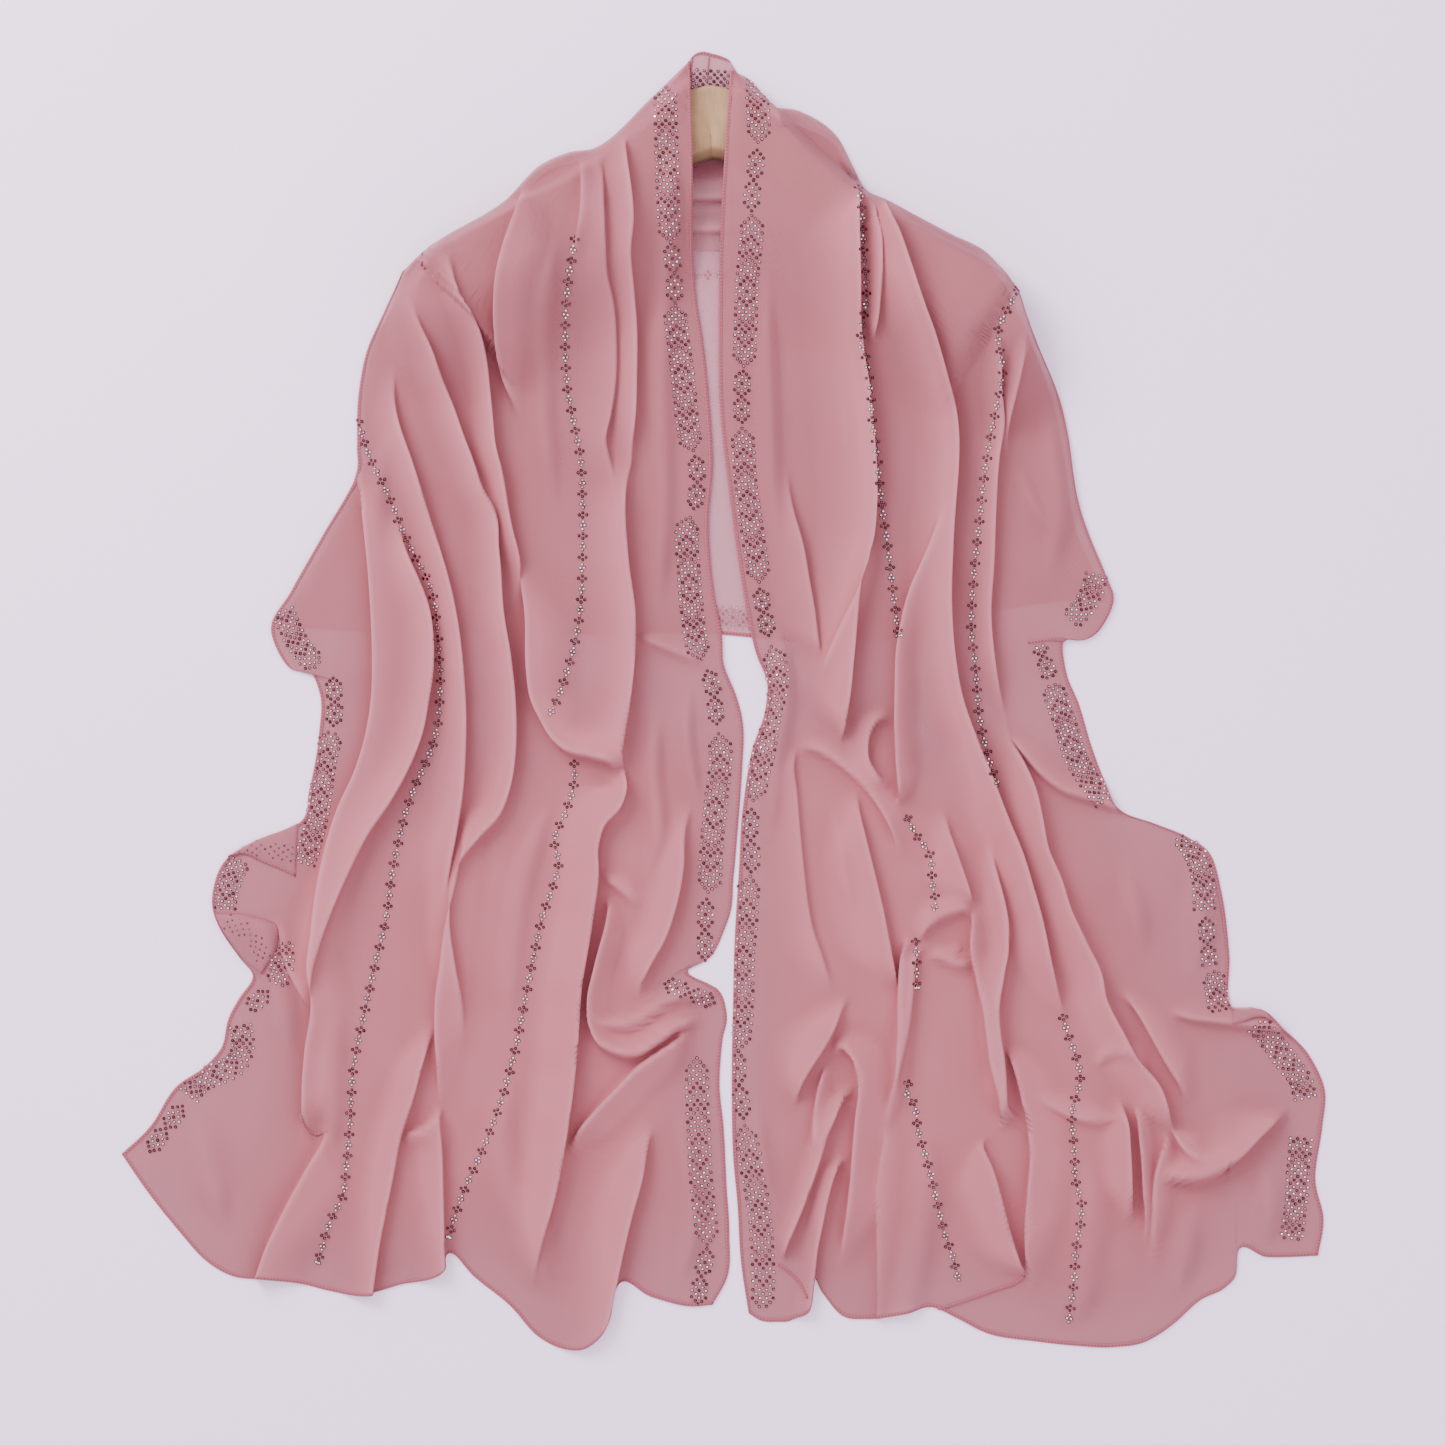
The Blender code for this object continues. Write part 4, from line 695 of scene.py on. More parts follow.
beechSettings = {
    "dark": (0.245, 0.137, 0.064),
    "pale": (0.385, 0.238, 0.122),
    # colour of the painted shade
    "shaded": (0.145, 0.075, 0.035),
    "grain": (900, 45, 300),     # fibres for each metre across, along and through
    "turn": 4,                   # degrees that the grain leans
    "leftShade": 0.16,           # how far the left arm's face is painted in shade
}


def beechMaterial():
    # painted shade: some on the left arm's face, all of it on the bevel below both
    material, tree, shader = newMaterial("waxed beech", {"Roughness": 0.6, "Specular IOR Level": 0.25})
    under = addNode(tree, "ShaderNodeAttribute", attribute_name="under")
    shaded = addNode(tree, "ShaderNodeMix", {7: (*beechSettings["shaded"], 1)}, data_type="RGBA")
    place = addNode(tree, "ShaderNodeTexCoord")
    turn = addNode(tree, "ShaderNodeMapping", {
        "Rotation": (0, 0, math.radians(beechSettings["turn"])), "Scale": beechSettings["grain"]})
    fibre = addNode(tree, "ShaderNodeTexNoise", {"Scale": 1.0, "Detail": 4.0, "Roughness": 0.65})
    ring = addNode(tree, "ShaderNodeTexNoise", {"Scale": 38.0, "Detail": 2.0})
    grain = addNode(tree, "ShaderNodeMath", {1: 0.5}, operation="MULTIPLY_ADD")
    ramp = addNode(tree, "ShaderNodeValToRGB")
    for stop, position, tint in zip(ramp.color_ramp.elements, (0.50, 0.95), ("dark", "pale")):
        stop.position = position
        stop.color = (*beechSettings[tint], 1)
    bump = addNode(tree, "ShaderNodeBump", {"Strength": 0.15, "Distance": 0.0002})
    wire(tree, (place, "Object", turn, "Vector"), (turn, "Vector", fibre, "Vector"),
         (place, "Object", ring, "Vector"), (fibre, "Fac", grain, 0), (ring, "Fac", grain, 2),
         (grain, 0, ramp, "Fac"), (ramp, "Color", shaded, 6), (under, "Fac", shaded, 0),
         (shaded, 2, shader, "Base Color"),
         (fibre, "Fac", bump, "Height"), (bump, "Normal", shader, "Normal"))
    return material


def stoneMaterial():
    # foil-backed glass: the tints in the mesh hold each stone's colour, with painted light on its top facet
    # and painted shade on its sides
    material, tree, shader = newMaterial("cut stones", {"Metallic": 0.7, "Roughness": 0.16})
    tint = addNode(tree, "ShaderNodeAttribute", attribute_name="tint")
    wire(tree, (tint, "Color", shader, "Base Color"))
    return material


# Pieces

def addObject(name, content):
    made = bpy.data.objects.new(name, content)
    bpy.context.scene.collection.objects.link(made)
    return made


def gridObject(name, points, material, flat=None, values=None, closed=False):
    # a grid moved to the given points, one row of points for each row of the grid
    rows, columns = points.shape[:2]
    grid = bmesh.new()
    bmesh.ops.create_grid(grid, x_segments=columns - 1, y_segments=rows - 1, size=1.0)
    mesh = bpy.data.meshes.new(name)
    grid.to_mesh(mesh)
    grid.free()
    places = np.empty(len(mesh.vertices) * 3)
    mesh.vertices.foreach_get("co", places)
    places = places.reshape(-1, 3)
    column = np.rint((places[:, 0] + 1) / 2 * (columns - 1)).astype(int)
    row = np.rint((1 - places[:, 1]) / 2 * (rows - 1)).astype(int)
    mesh.vertices.foreach_set("co", (points[row, column] * mm).ravel())
    for title, value in (values or {}).items():
        attribute = mesh.attributes.new(title, "FLOAT", "POINT")
        attribute.data.foreach_set("value", value[row, column])
    if flat is not None:
        corners = np.empty(len(mesh.loops), dtype=int)
        mesh.loops.foreach_get("vertex_index", corners)
        layer = mesh.uv_layers.new(name="flat")
        layer.uv.foreach_set("vector", flat[row, column][corners].ravel())
    mesh.update()
    if closed:
        shape = bmesh.new()
        shape.from_mesh(mesh)
        bmesh.ops.remove_doubles(shape, verts=shape.verts, dist=1e-7)
        bmesh.ops.holes_fill(shape, edges=[edge for edge in shape.edges if edge.is_boundary], sides=0)
        bmesh.ops.recalc_face_normals(shape, faces=shape.faces)
        shape.to_mesh(mesh)
        shape.free()
    mesh.materials.append(material)
    mesh.polygons.foreach_set("use_smooth", [True] * len(mesh.polygons))
    made = addObject(name, mesh)
    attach(made, "root")
    return made


def thicken(sheet, thickness):
    if sum(face.normal.z * face.area for face in sheet.data.polygons) < 0:
        sheet.data.flip_normals()
    wall = sheet.modifiers.new("cloth wall", "SOLIDIFY")
    wall.thickness = thickness * mm
    wall.offset = -1.0


def surfaceUnder(points):
    rows, columns = points.shape[:2]
    corner = (np.arange(rows - 1)[:, None] * columns + np.arange(columns - 1)).ravel()
    faces = np.stack((corner, corner + 1, corner + columns + 1, corner + columns), axis=1)
    return BVHTree.FromPolygons(points.reshape(-1, 3).tolist(), faces.tolist())


def castDown(surface, x, y):
    # place and normal of the cloth seen from above, or None twice beside it
    wellAbove = 200
    return surface.ray_cast(Vector((x, y, wellAbove)), Vector((0, 0, -1)))[:2]


def hemAlong(name, edge, inward, material, width=hemSettings["width"], depth=hemSettings["depth"]):
    # a flattened roll along an edge of the cloth, its flat map running with its length
    steps = np.linalg.norm(np.diff(edge, axis=0), axis=1)
    stations = np.concatenate(([0.0], np.cumsum(steps)))
    at = np.linspace(0, stations[-1], int(stations[-1] / hemSettings["spacing"]))
    line = np.stack([np.interp(at, stations, edge[:, axis]) for axis in range(3)], axis=1)
    inside = np.stack([np.interp(at, stations, inward[:, axis]) for axis in range(3)], axis=1)
    inside /= np.maximum(np.linalg.norm(inside, axis=1), 1e-6)[:, None]
    tangent = np.gradient(line, axis=0)
    tangent /= np.linalg.norm(tangent, axis=1)[:, None]
    up = np.cross(tangent, inside)
    up *= np.sign(up[:, 2:3] + 1e-9)
    up /= np.maximum(np.linalg.norm(up, axis=1), 1e-6)[:, None]
    around = np.linspace(0, 2 * math.pi, hemSettings["sides"] + 1)
    centre = line + inside * width * 0.42 - up * 0.1     # its outer side just past the cloth's edge
    ring = (centre[:, None] + inside[:, None] * np.cos(around)[None, :, None] * width / 2
            + up[:, None] * np.sin(around)[None, :, None] * depth / 2)
    ring[:, -1] = ring[:, 0]
    flat = np.stack(np.broadcast_arrays(at[:, None] * mm, np.sin(around / 2)[None, :] ** 2), axis=-1)
    low = ring[..., 2].min(axis=1)
    ring[..., 2] += np.clip(0.05 - low, 0, None)[:, None]        # none of it sinks into the floor
    return gridObject(name, ring, material, flat=flat, closed=True)


stoneSettings = {
    "radius": 1.27,
    "height": 0.75,
    "table": 0.54,           # top facet against the whole width
    "sides": 8,
    "tintsWithPaintedLight": {               # each stone's colour, with painted light on the top facet, then painted shade on the sides
        "clear": ((0.84, 0.71, 0.73), (0.070, 0.040, 0.045)),
        "rose": ((0.38, 0.19, 0.22), (0.050, 0.022, 0.027)),
        "garnet": ((0.155, 0.060, 0.068), (0.026, 0.009, 0.012)),
    },
}


def stoneTemplate():
    shape = bmesh.new()
    bmesh.ops.create_cone(
        shape, cap_ends=True, segments=stoneSettings["sides"], radius1=stoneSettings["radius"],
        radius2=stoneSettings["radius"] * stoneSettings["table"], depth=stoneSettings["height"])
    bmesh.ops.translate(shape, verts=shape.verts, vec=(0, 0, stoneSettings["height"] / 2))
    shape.faces.ensure_lookup_table()
    corners = np.array([vertex.co[:] for vertex in shape.verts])
    faces = [[vertex.index for vertex in face.verts] for face in shape.faces]
    onTop = [face.normal.z > 0.9 for face in shape.faces]
    shape.free()
    return corners, faces, onTop


def stonesObject(name, places, normals, kinds, material):
    corners, faces, onTop = stoneTemplate()
    count = len(places)
    normals = normals + chance.normal(0, 0.07, (count, 3))
    normals /= np.linalg.norm(normals, axis=1)[:, None]
    turn = chance.uniform(0, 2 * math.pi, count)
    aside = np.stack((np.cos(turn), np.sin(turn), np.zeros(count)), axis=1)
    ahead = np.cross(normals, aside)
    ahead /= np.linalg.norm(ahead, axis=1)[:, None]
    aside = np.cross(ahead, normals)
    size = chance.uniform(0.93, 1.07, count)[:, None, None]
    local = corners[None] * size
    points = (places[:, None] + local[..., 0:1] * aside[:, None] + local[..., 1:2] * ahead[:, None]
              + local[..., 2:3] * normals[:, None]) * mm
    starts = np.arange(count) * len(corners)
    allFaces = [[start + index for index in face] for start in starts for face in faces]
    mesh = bpy.data.meshes.new(name)
    mesh.from_pydata(points.reshape(-1, 3).tolist(), [], allFaces)
    tint = mesh.attributes.new("tint", "FLOAT_COLOR", "FACE")
    tones = np.array([[table if top else side for top in onTop]
                      for table, side in stoneSettings["tintsWithPaintedLight"].values()])
    # each stone painted brighter or darker at random, as painted sparkle
    colours = tones[kinds] * chance.uniform(0.62, 1.3, (count, 1, 1))
    colours = np.concatenate((np.clip(colours, 0, 1), np.ones((count, len(faces), 1))), axis=-1)
    tint.data.foreach_set("color", colours.ravel())
    mesh.materials.append(material)
    made = addObject(name, mesh)
    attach(made, "root")
    return made


# Stones. A bar and a motif are nested diamonds on one lattice: |along| + slant * |across| = ring * pitch
lattice = {
    "column": 2.45, "pitch": 4.9, "slant": 1.0, "barColumns": 3, "motifColumns": 2,
    "lengths": {"bar": 104.0, "motif": 40.0},
    "ringKinds": (2, 0, 2, 0, 0, 1),     # the stones' tints by number, ring by ring
}
# one link of a chain: a cross of dark stones, then a small diamond of clear ones, as along, across and kind
chainLink = ((0, 2.5, 2), (0, -2.5, 2), (1.7, 0, 2), (-1.7, 0, 2),
             (4.9, 0, 0), (7.4, 1.4, 0), (7.4, -1.4, 0), (9.9, 0, 0))


def diamondStones(length, columns):
    placed = []
    rings = int(round(length / 2 / lattice["pitch"]))
    for ring in range(rings + 1):
        for column in range(-columns, columns + 1):
            across = column * lattice["column"]
            along = ring * lattice["pitch"] - abs(across) * lattice["slant"]
            if along < -0.1:
                continue
            kind = lattice["ringKinds"][(ring + abs(column) // 3) % len(lattice["ringKinds"])]
            placed.append((along, across, kind))
            if along > 0.1:
                placed.append((-along, across, kind))
    return placed


def bandStones(item, length):
    if item == "bar":
        return diamondStones(length, lattice["barColumns"])
    small = diamondStones(length / 2 - 1, lattice["motifColumns"])
    return [(along + shift, across, kind)
            for shift in (-length / 4, length / 4) for along, across, kind in small]


def besidePath(rows, at, across):
    point = curveAt(rows, at)
    ahead = curveAt(rows, at + 1) - curveAt(rows, at - 1)
    ahead /= max(np.hypot(*ahead), 1e-6)
    return point[0] - ahead[1] * across, point[1] + ahead[0] * across


def bandPlaces(path, items):
    # items: kind, then where it starts and ends along the path
    rows = measured(path)
    found = []
    for item, start, end in items:
        nominal = lattice["lengths"][item]
        share = (end - start) / nominal
        middle = (start + end) / 2
        for along, across, kind in bandStones(item, nominal):
            at = middle + along * share
            if 0 <= at <= rows[-1, 0]:
                found.append((*besidePath(rows, at, across), kind))
    return found


def chainPlaces(path, period=15.0):
    rows = measured(path)
    found = []
    for at in np.arange(4.0, rows[-1, 0] - 3, period):
        for along, across, kind in chainLink:
            found.append((*besidePath(rows, min(at + along, rows[-1, 0]), across), kind))
    return found


def ontoCloth(found, surface, jitter=0.12, sink=0.0):
    places, normals, kinds = [], [], []
    for x, y, kind in found:
        x += chance.normal(0, jitter)
        y += chance.normal(0, jitter)
        place, normal = castDown(surface, x, y)
        if place is None:
            continue
        if normal.z < 0:
            normal = -normal
        normal = (normal + Vector((0, 0, 0.6))).normalized()     # a stone tips less than the cloth
        places.append(place - Vector((0, 0, sink)))
        normals.append(normal)
        kinds.append(kind)
    return np.array(places), np.array(normals), np.array(kinds)


def yItems(path, spans):
    # bars and motifs given by the heights at which they start and end
    rows = measured(path)
    y = rows[:, 2]
    at = [np.interp(-value, -y, rows[:, 0]) - max(value - y[0], 0) + max(y[-1] - value, 0)
          for span in spans for value in span[1:]]
    return [(span[0], at[2 * index], at[2 * index + 1]) for index, span in enumerate(spans)]


leftStones = {
    "innerBand": ((-41, 434), (-41, 420), (-40, 380), (-38, 330), (-35, 300), (-34, 270), (-31, 245),
        (-28, 220), (-24, 185), (-19, 165), (-20, 140), (-26, 120), (-25, 95), (-22, 60), (-18, 35),
        (-8, 10), (-5, -15), (-2, -40), (-5, -70), (-9, -110), (-10, -130), (-12, -142), (-13, -187)),
    "innerSpans": (("bar", 432, 325), ("motif", 322, 281), ("bar", 277, 178), ("motif", 172, 135),
        ("bar", 127, 30), ("motif", 20, -18), ("bar", -27, -135), ("motif", -142, -186)),
    "lowerBand": ((-17, -225), (-19, -260), (-18, -300), (-16, -340), (-12, -380), (-12, -393),
        (-16, -410), (-18, -430)),
    "lowerSpans": (("bar", -257, -385), ("motif", -390, -430)),
    "foldBand": ((-42, -202), (-30, -206), (-18, -211), (-5, -216)),
    "foldItems": (("motif", 0, 38),),
    "outerBands": (
        (((-313, 62), (-305, 45), (-297, 32), (-288, 24)), (("bar", -50, 46),)),
        (((-277, 15), (-276, -5), (-277, -20)), (("motif", 0, 34),)),
        (((-278, -24), (-283, -45), (-287, -75), (-291, -94), (-298, -118)), (("bar", 0, 100),)),
        (((-343, -114), (-349, -126), (-353, -139), (-354, -150)), (("bar", -30, 70),)),
        (((-313, -173), (-313, -189), (-318, -203)), (("bar", -70, 32),)),
        (((-322, -206), (-329, -213), (-338, -219)), (("motif", -18, 22),)),
        (((-343, -231), (-341, -245), (-344, -256), (-350, -262), (-360, -266), (-372, -272),
            (-380, -282)), (("bar", -14, 90),)),
        (((-384, -289), (-388, -294), (-399, -309), (-408, -322)), (("motif", 0, 40),)),
    ),
    "chains": (
        ((-104, 328), (-109, 300), (-112, 270), (-112, 240), (-110, 215), (-106, 195), (-102, 175),
            (-100, 140), (-100, 100), (-102, 60), (-108, 30), (-118, 0), (-126, -18)),
        ((-106, -42), (-106, -60), (-112, -80), (-120, -102), (-117, -115), (-121, -133), (-127, -150),
            (-135, -184), (-142, -219), (-149, -254), (-159, -289), (-172, -322), (-187, -356),
            (-195, -382)),
        ((-260, 200), (-256, 185), (-248, 165), (-238, 145), (-228, 120), (-218, 100), (-210, 85),
            (-205, 70), (-203, 50), (-201, 25), (-201, 0), (-203, -20), (-209, -40), (-216, -55),
            (-222, -70), (-228, -90), (-235, -123), (-240, -158), (-248, -192), (-256, -228), (-263, -264),
            (-265, -300), (-268, -335), (-270, -352), (-278, -368), (-288, -400)),
    ),
}

rightStones = {
    "innerBand": ((25, 442), (24, 430), (25, 400), (23, 380), (20, 355), (20, 330), (17, 300), (16, 270),
        (15, 245), (13, 220), (13, 196), (14, 180), (16, 150), (20, 120), (24, 95), (27, 70), (31, 50),
        (38, 10), (33, -10), (28, -40), (22, -65), (19, -90), (20, -118), (17, -140), (16, -160),
        (14, -180), (13, -220), (11, -245), (10, -258), (11, -275), (14, -295), (15, -308), (18, -320),
        (21, -340), (25, -360), (27, -380), (28, -400), (28, -433)),
    "innerSpans": (("bar", 498, 395), ("motif", 388, 345), ("bar", 340, 238), ("motif", 233, 196),
        ("bar", 190, 85), ("motif", 78, 45), ("bar", 35, -70), ("motif", -78, -123), ("bar", -128, -247),
        ("motif", -250, -298), ("bar", -305, -432)),
    "outerBands": (
        (((265, 90), (262, 78), (255, 65), (245, 55)), (("bar", -62, 42),)),
        (((224, 38), (228, 26), (232, 15)), (("motif", -10, 26),)),
        (((233, 10), (238, -5), (245, -25), (250, -42), (259, -57), (271, -73)), (("bar", 0, 96),)),
        (((325, -96), (334, -108), (340, -129), (341, -150)), (("bar", -40, 62),)),
        (((342, -155), (343, -172), (345, -190)), (("motif", 0, 38),)),
        (((346, -194), (348, -199), (352, -223)), (("bar", 0, 104),)),
        (((377, -229), (390, -244), (401, -259), (410, -271), (413, -284)), (("bar", -18, 86),)),
        (((410, -311), (408, -332), (407, -350), (404, -374), (403, -383)), (("bar", -14, 90),)),
    ),
    "chains": (
        ((95, 365), (98, 340), (99, 310), (101, 285), (98, 262), (97, 255), (101, 240), (104, 222),
            (105, 200), (108, 180), (110, 160), (112, 140), (115, 120), (118, 95), (121, 70), (124, 45)),
        ((129, -81), (136, -95), (147, -112), (148, -130), (150, -146), (147, -155)),
        ((136, -168), (137, -184), (137, -205)),
        ((132, -269), (130, -280), (135, -287), (138, -306), (143, -323), (148, -342), (152, -360),
            (156, -376), (162, -394), (167, -413)),
        ((209, 290), (200, 274), (194, 262), (197, 230), (192, 200), (186, 165), (182, 130), (178, 90),
            (176, 50), (179, 20), (182, -15), (190, -48), (196, -66)),
        ((240, -222), (244, -237), (250, -253), (253, -271), (250, -282), (247, -293), (248, -308),
            (249, -324), (250, -343), (254, -358), (253, -373), (250, -391), (249, -408), (247, -426),
            (244, -448)),
    ),
}

backStones = {
    "hemBand": ((-292, 64), (-250, 60), (-140, 58), (0, 58), (19, 57), (100, 54), (160, 64), (205, 77),
        (262, 84)),
    "chain": ((-30, 301), (-12, 301), (12, 301)),
    "neckBand": ((-26, 442), (-10, 441), (6, 440)),
}


def frontStones(stones, surface):
    found = bandPlaces(stones["innerBand"], yItems(stones["innerBand"], stones["innerSpans"]))
    if "lowerBand" in stones:
        found += bandPlaces(stones["lowerBand"], yItems(stones["lowerBand"], stones["lowerSpans"]))
        found += bandPlaces(stones["foldBand"], stones["foldItems"])
    for path, items in stones["outerBands"]:
        found += bandPlaces(path, items)
    for path in stones["chains"]:
        found += chainPlaces(path)
    return ontoCloth(found, surface)


turnedEdges = {
    # the line of the fold, then the free edge that lies over it, and how full the roll stands
    "left_flap": {
        "panel": "left_front", "full": 2.4,
        "fold": ((-302, -88), (-315, -94), (-329, -99), (-341, -105), (-352, -112)),
        "free": ((-304, -126), (-314, -121), (-327, -116), (-341, -110), (-352, -112)),
        "backs": ((-306, -110), (-318, -108), (-330, -106), (-344, -109)),
    },
    "left_curl": {
        "panel": "left_front", "full": 5.0,
        "fold": ((-361, -152), (-356, -163), (-349, -173), (-340, -184), (-328, -195)),
        "free": ((-361, -152), (-334, -154), (-317, -161), (-317, -176), (-328, -195)),
        "backs": ((-352, -158), (-341, -163), (-331, -172), (-326, -184)),
    },
    "right_rim": {
        "panel": "right_front", "full": 3.0,
        "fold": ((361, -219), (368, -219), (376, -219), (384, -222), (390, -229)),
        "free": ((361, -231), (368, -229), (377, -226), (384, -226), (390, -229)),
        "backs": (),
    },
}


def turnedPoints(setting, surface):
    along = np.linspace(0, 1, 36)
    over = np.linspace(0, 1, 12)
    sides = []
    for line in (setting["fold"], setting["free"]):
        rows = measured(line)
        sides.append(curveAt(rows, along * rows[-1, 0])[:, None])
    plan = sides[0] * (1 - over)[None, :, None] + sides[1] * over[None, :, None]
    height = np.empty(plan.shape[:2])
    for row, column in np.ndindex(height.shape):
        place = castDown(surface, *plan[row, column])[0]
        height[row, column] = place.z if place else clothSettings["wall"]
    roll = np.sin(np.pi * np.clip(over * 0.9 + 0.1, 0, 1)) ** 0.6
    height += 0.7 + setting["full"] * roll[None] * np.sin(np.pi * along)[:, None] ** 0.5
    return np.dstack((plan, height))


def makeHanger(material):
    rows = measured(hangerSettings["sections"])
    samples = curveAt(rows, np.linspace(0, rows[-1, 0], hangerSettings["steps"]))
    directions = np.gradient(samples[:, :2], axis=0)
    directions /= np.hypot(*directions.T)[:, None]
    around = np.linspace(0, 2 * math.pi, 49)
    power = 2 / hangerSettings["roundness"]
    side = np.sign(np.cos(around)) * np.abs(np.cos(around)) ** power
    lift = np.sign(np.sin(around)) * np.abs(np.sin(around)) ** power
    lift = np.minimum(lift, 1 - 1.6 * np.clip(-side - 0.72, 0, 1))
    half = samples[:, 2:3]
    middle = (samples[:, 3:4] + samples[:, 4:5]) / 2
    deep = (samples[:, 4:5] - samples[:, 3:4]) / 2
    x = samples[:, 0:1] - directions[:, 1:2] * side * half
    y = samples[:, 1:2] + directions[:, 0:1] * side * half
    ring = np.stack((x, y, middle + lift * deep), axis=-1)
    ring[:, -1] = ring[:, 0]
    # mask of painted shade: full on the bevel below both arms, part on the left arm's face
    bevel = ease((-side - 0.70) / 0.05)[None] * (lift > -0.9)[None] * np.ones((len(samples), 1))
    leftArm = beechSettings["leftShade"] * (samples[:, 0:1] < -9) * np.ones((1, len(around)))
    return gridObject("hanger_wood", ring, material, closed=True,
                      values={"under": np.maximum(bevel, leftArm)})


print("cloth")
chiffon = chiffonMaterial("rose chiffon", **chiffonSettings["right side"])
chiffonInside = chiffonMaterial("rose chiffon wrong side", **chiffonSettings["wrong side"])
hemCloth = hemMaterial()
beech = beechMaterial()
stoneGlass = stoneMaterial()

madeHems = {}
surfaces = {}
for panel, node in ((leftFront, "left_front"), (rightFront, "right_front")):
    points, layered, dark, gleam, flat = frontPoints(panel)
    hollow, steep = deepness(points, dark)
    sheet = gridObject(panel["name"], points, chiffon, flat=flat,
                       values={"hollow": hollow, "steep": steep, "gleam": gleam, "layers": layered})
    thicken(sheet, clothSettings["wall"])
    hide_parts(node)
    surfaces[node] = surfaceUnder(points)
    side = node.split("_")[0]
    hems = [
        hemAlong(side + "_neck_hem", points[:, 0], points[:, 3] - points[:, 0], hemCloth),
        hemAlong(side + "_outer_hem", points[:, -1], points[:, -4] - points[:, -1], hemCloth),
        hemAlong(side + "_lower_hem", points[-1], points[-4] - points[-1], hemCloth),
    ]
    madeHems[node] = hems

print("turned edges")
for name, setting in turnedEdges.items():
    node = setting["panel"]
    points = turnedPoints(setting, surfaces[node])
    none = np.zeros(points.shape[:2])
    piece = gridObject(name, points, chiffonInside, flat=points[..., :2] * mm,
                       values={"hollow": none + 0.45, "steep": none, "gleam": none, "layers": none + 1.5})
    thicken(piece, clothSettings["wall"])
    inward = points[:, -4] - points[:, -1]
    hem = hemAlong(name + "_hem", points[:, -1], inward, hemCloth, width=2.2, depth=0.9)
    extras = [piece, hem]
    if setting["backs"]:
        length = measured(setting["backs"])[-1, 0]
        found = [(x, y, 2) for x, y, kind in bandPlaces(setting["backs"], [("motif", -6, length + 6)])]
        settled = ontoCloth(found, surfaceUnder(points), sink=0.72)
        extras.append(stonesObject(name + "_stones", *settled, stoneGlass))
    madeHems[node] += extras

layerHems = {
    # hems of lower layers that cross the cloth
    "middle_layer_hem": (
        "right_front", ((146, -434), (160, -430), (178, -424), (195, -418), (207, -414), (213, -409))),
    "wing_hem": ("right_front", ((216, 41), (224, 42), (233, 43), (243, 42.5))),
    "inner_roll_hem": ("right_front", ((40, -401), (47, -406), (54, -413), (60, -424))),
    "left_loop_hem": ("left_front", ((-299, -293), (-296, -302), (-290, -308), (-281, -306))),
}
for name, (node, path) in layerHems.items():
    line = curveAt(measured(path), np.linspace(0, measured(path)[-1, 0], 24))
    found = [castDown(surfaces[node], x, y)[0] for x, y in line]
    line = np.array([(place.x, place.y, place.z + 0.5) for place in found if place])
    across = np.cross(np.gradient(line, axis=0), (0, 0, 1))
    hem = hemAlong(name, line, across, hemCloth, width=2.0, depth=0.9)
    madeHems[node].append(hem)

points, band, flat = backPoints()
none = np.zeros(band.shape)
back = gridObject("back_cloth", points, chiffonInside, flat=flat,
                  values={"hollow": 0.5 * band, "steep": none, "gleam": none, "layers": none})
thicken(back, clothSettings["wall"])
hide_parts("back_panel")
surfaces["back_panel"] = surfaceUnder(points)
backHem = hemAlong("back_hem", points[-1], points[-3] - points[-1], hemCloth, depth=0.8)
backNeckHem = hemAlong("back_neck_hem", points[0], points[2] - points[0], hemCloth, depth=0.8)
neckSeamPaths = {
    "left_neck_seam": ((-21.5, 455), (-22.5, 446), (-23, 437)),
    "right_neck_seam": ((-9.5, 457), (-10.5, 446), (-11, 437)),
}
for name, line in neckSeamPaths.items():
    line = np.array([(x, y, backSettings["height"] + 0.25) for x, y in line])
    across = np.cross(np.gradient(line, axis=0), (0, 0, 1))
    hemAlong(name, line, across, hemCloth, width=1.3, depth=0.5)

print("neck pleats")
pleatSettings = {
    "x": (-27, 5), "y": (384, 318), "columns": 30, "rows": 90,
    "height": 1.3,           # of the flat cloth between the pleats
    "shadeReach": 2.0,
    "folds": (
        (-1, 4.5, 15, 0, 0, ((-60, 357), (-11, 356), (40, 355))),
        (-1, 1.2, 7, 0, 0, ((-60, 347), (-11, 346), (40, 344.5))),
        (-1, 4, 12, 0, 0, ((-60, 335), (-11, 333.5), (40, 331.5))),
    ),
}
x, y = np.meshgrid(np.linspace(*pleatSettings["x"], pleatSettings["columns"]),
                   np.linspace(*pleatSettings["y"], pleatSettings["rows"]))
lift, layered, lean, dark, gleam = foldField(
    x.ravel(), y.ravel(), pleatSettings["folds"], pleatSettings["shadeReach"])
points = np.stack((x.ravel() + lean[:, 0], y.ravel() + lean[:, 1], lift + pleatSettings["height"]), axis=-1)
points = points.reshape(*x.shape, 3)
hollow, steep = deepness(points, dark.reshape(x.shape))
hollow = np.maximum(1.6 * hollow, 0.95 * ease((y - 366) / 8))        # painted crease shade made stronger, and a painted shadow right below the hanger
pleats = gridObject("neck_pleat_cloth", points, chiffonInside, flat=np.stack((x, y), axis=-1) * mm,
                    values={"hollow": hollow, "steep": steep, "gleam": gleam.reshape(x.shape),
                            "layers": layered.reshape(x.shape)})
thicken(pleats, clothSettings["wall"])
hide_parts("neck_pleats")

print("hanger")
hanger = makeHanger(beech)
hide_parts("hanger")

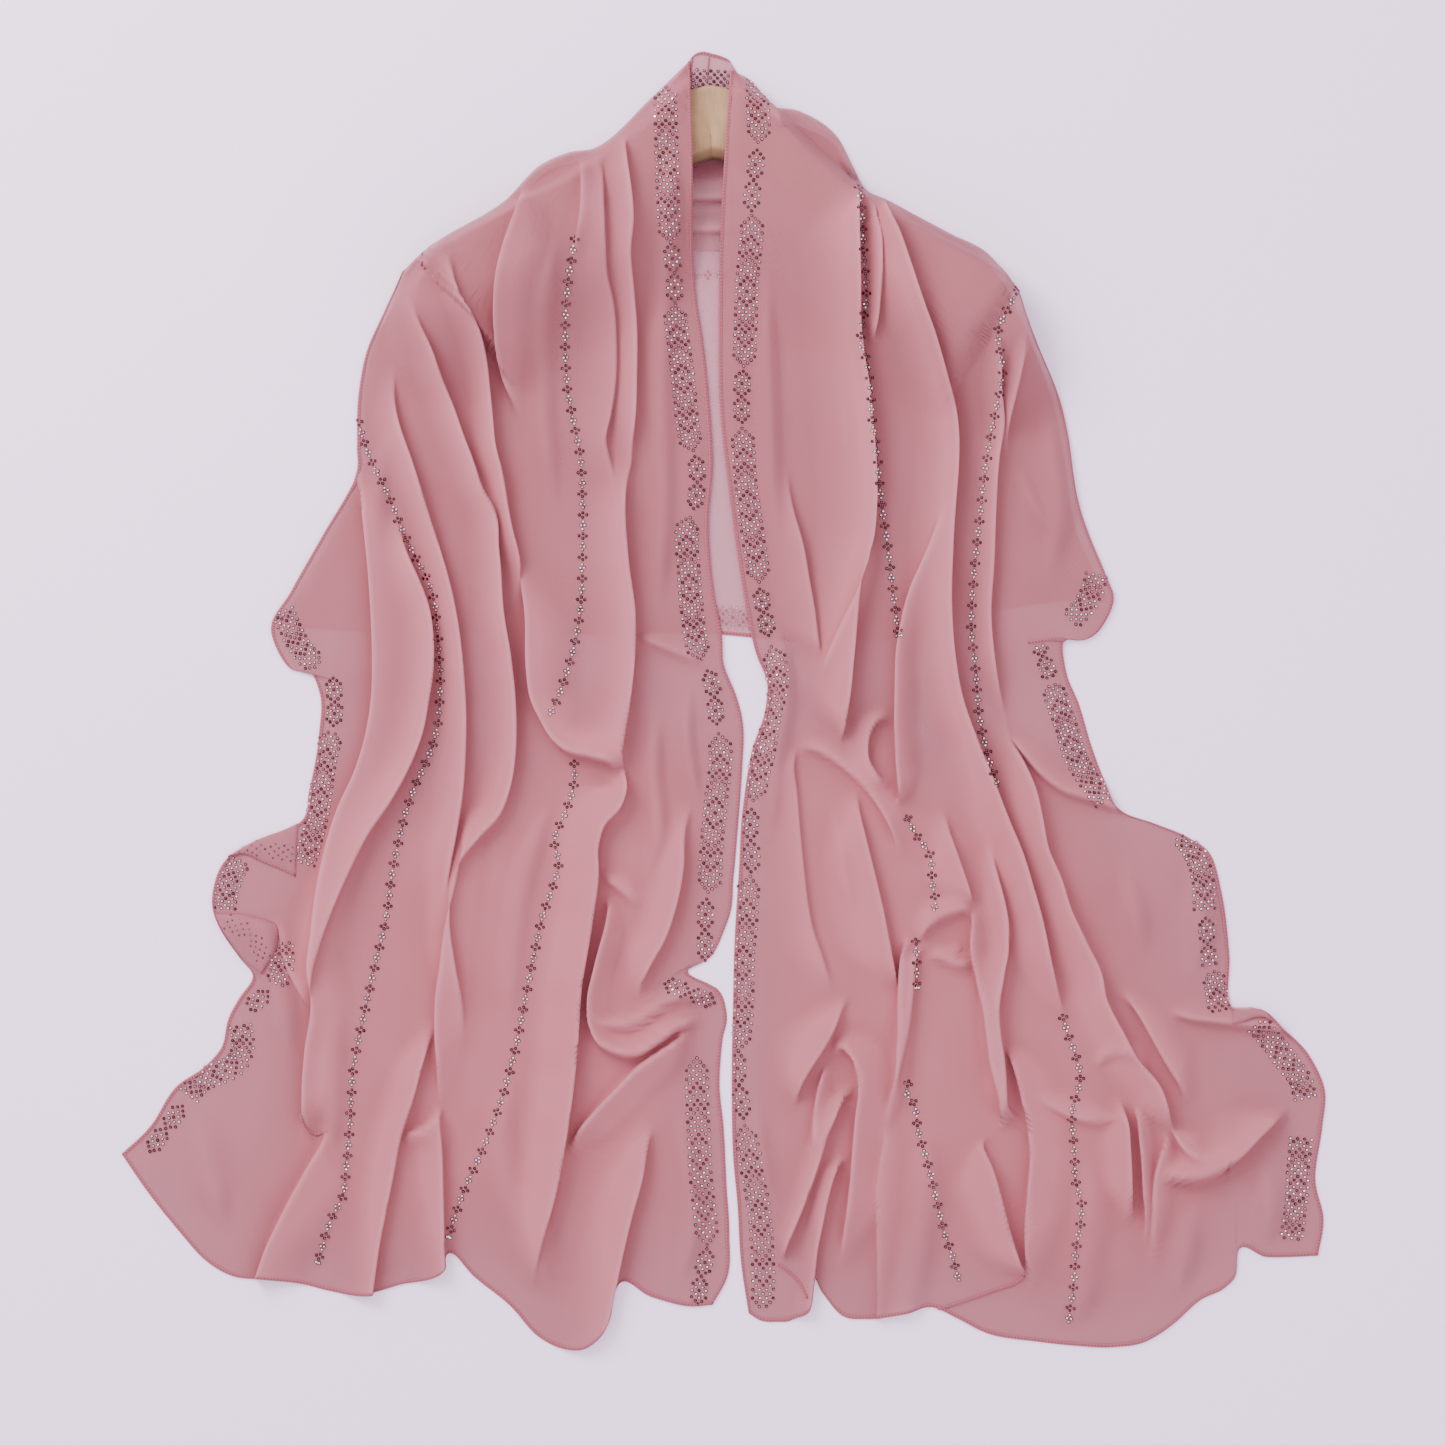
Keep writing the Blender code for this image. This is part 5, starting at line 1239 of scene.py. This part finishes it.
print("stones")
leftSet = stonesObject("left_stones", *frontStones(leftStones, surfaces["left_front"]), stoneGlass)
rightSet = stonesObject("right_stones", *frontStones(rightStones, surfaces["right_front"]), stoneGlass)
repeat = 150
spans = [(kind, start + repeat * index, end + repeat * index) for index in range(4)
         for kind, start, end in (("bar", -53, 51), ("motif", 54, 94))]
found = bandPlaces(backStones["hemBand"], spans)
found += chainPlaces(backStones["chain"])
backSet = stonesObject("back_stones", *ontoCloth(found, surfaces["back_panel"], sink=0.9), stoneGlass)
found = [(x, y, 1 + index % 2) for index, (x, y, kind) in
         enumerate(bandPlaces(backStones["neckBand"], [("bar", -40, 64)])) if y < 446.5]
neckSet = stonesObject("neck_stones", *ontoCloth(found, surfaces["back_panel"]), stoneGlass)

print("floor, lights and camera")
paper = newMaterial("pale paper floor", {"Base Color": (0.970, 0.800, 1.0, 1), "Roughness": 0.9})[0]
floorShape = bmesh.new()
bmesh.ops.create_grid(floorShape, x_segments=1, y_segments=1, size=3.0)
floorMesh = bpy.data.meshes.new("floor")
floorShape.to_mesh(floorMesh)
floorShape.free()
floorMesh.materials.append(paper)
addObject("floor", floorMesh)

lightSettings = {
    "key": {"at": (-1.5, 1.5, 1.5), "size": 1.4, "power": 92, "colour": (1.0, 0.95, 1.0)},
    "fill": {"at": (1.6, -0.8, 2.6), "size": 2.4, "power": 18, "colour": (0.98, 0.95, 1.03)},
}
for name, setting in lightSettings.items():
    lamp = bpy.data.lights.new(name, "AREA")
    lamp.shape = "SQUARE"
    lamp.size = setting["size"]
    lamp.energy = setting["power"]
    lamp.color = setting["colour"]
    light = addObject(name, lamp)
    light.location = setting["at"]
    light.rotation_euler = (-Vector(setting["at"])).to_track_quat("-Z", "Y").to_euler()

world = bpy.data.worlds.new("studio")
world.use_nodes = True
setSockets(world.node_tree.nodes["Background"], {"Color": (1.0, 0.935, 1.06, 1), "Strength": 1.66})
bpy.context.scene.world = world

# straight above, covering this many metres of the floor
cameraSettings = {"lens": 150.0, "sensor": 36.0, "covers": 1.026, "over": (-0.0007, -0.0167)}
cameraData = bpy.data.cameras.new("camera")
cameraData.lens = cameraSettings["lens"]
cameraData.sensor_width = cameraSettings["sensor"]
distance = cameraSettings["covers"] * cameraSettings["lens"] / cameraSettings["sensor"]
cameraData.clip_end = 50.0
camera = addObject("camera", cameraData)
camera.location = (*cameraSettings["over"], distance)
bpy.context.scene.camera = camera

bpy.context.view_layer.update()
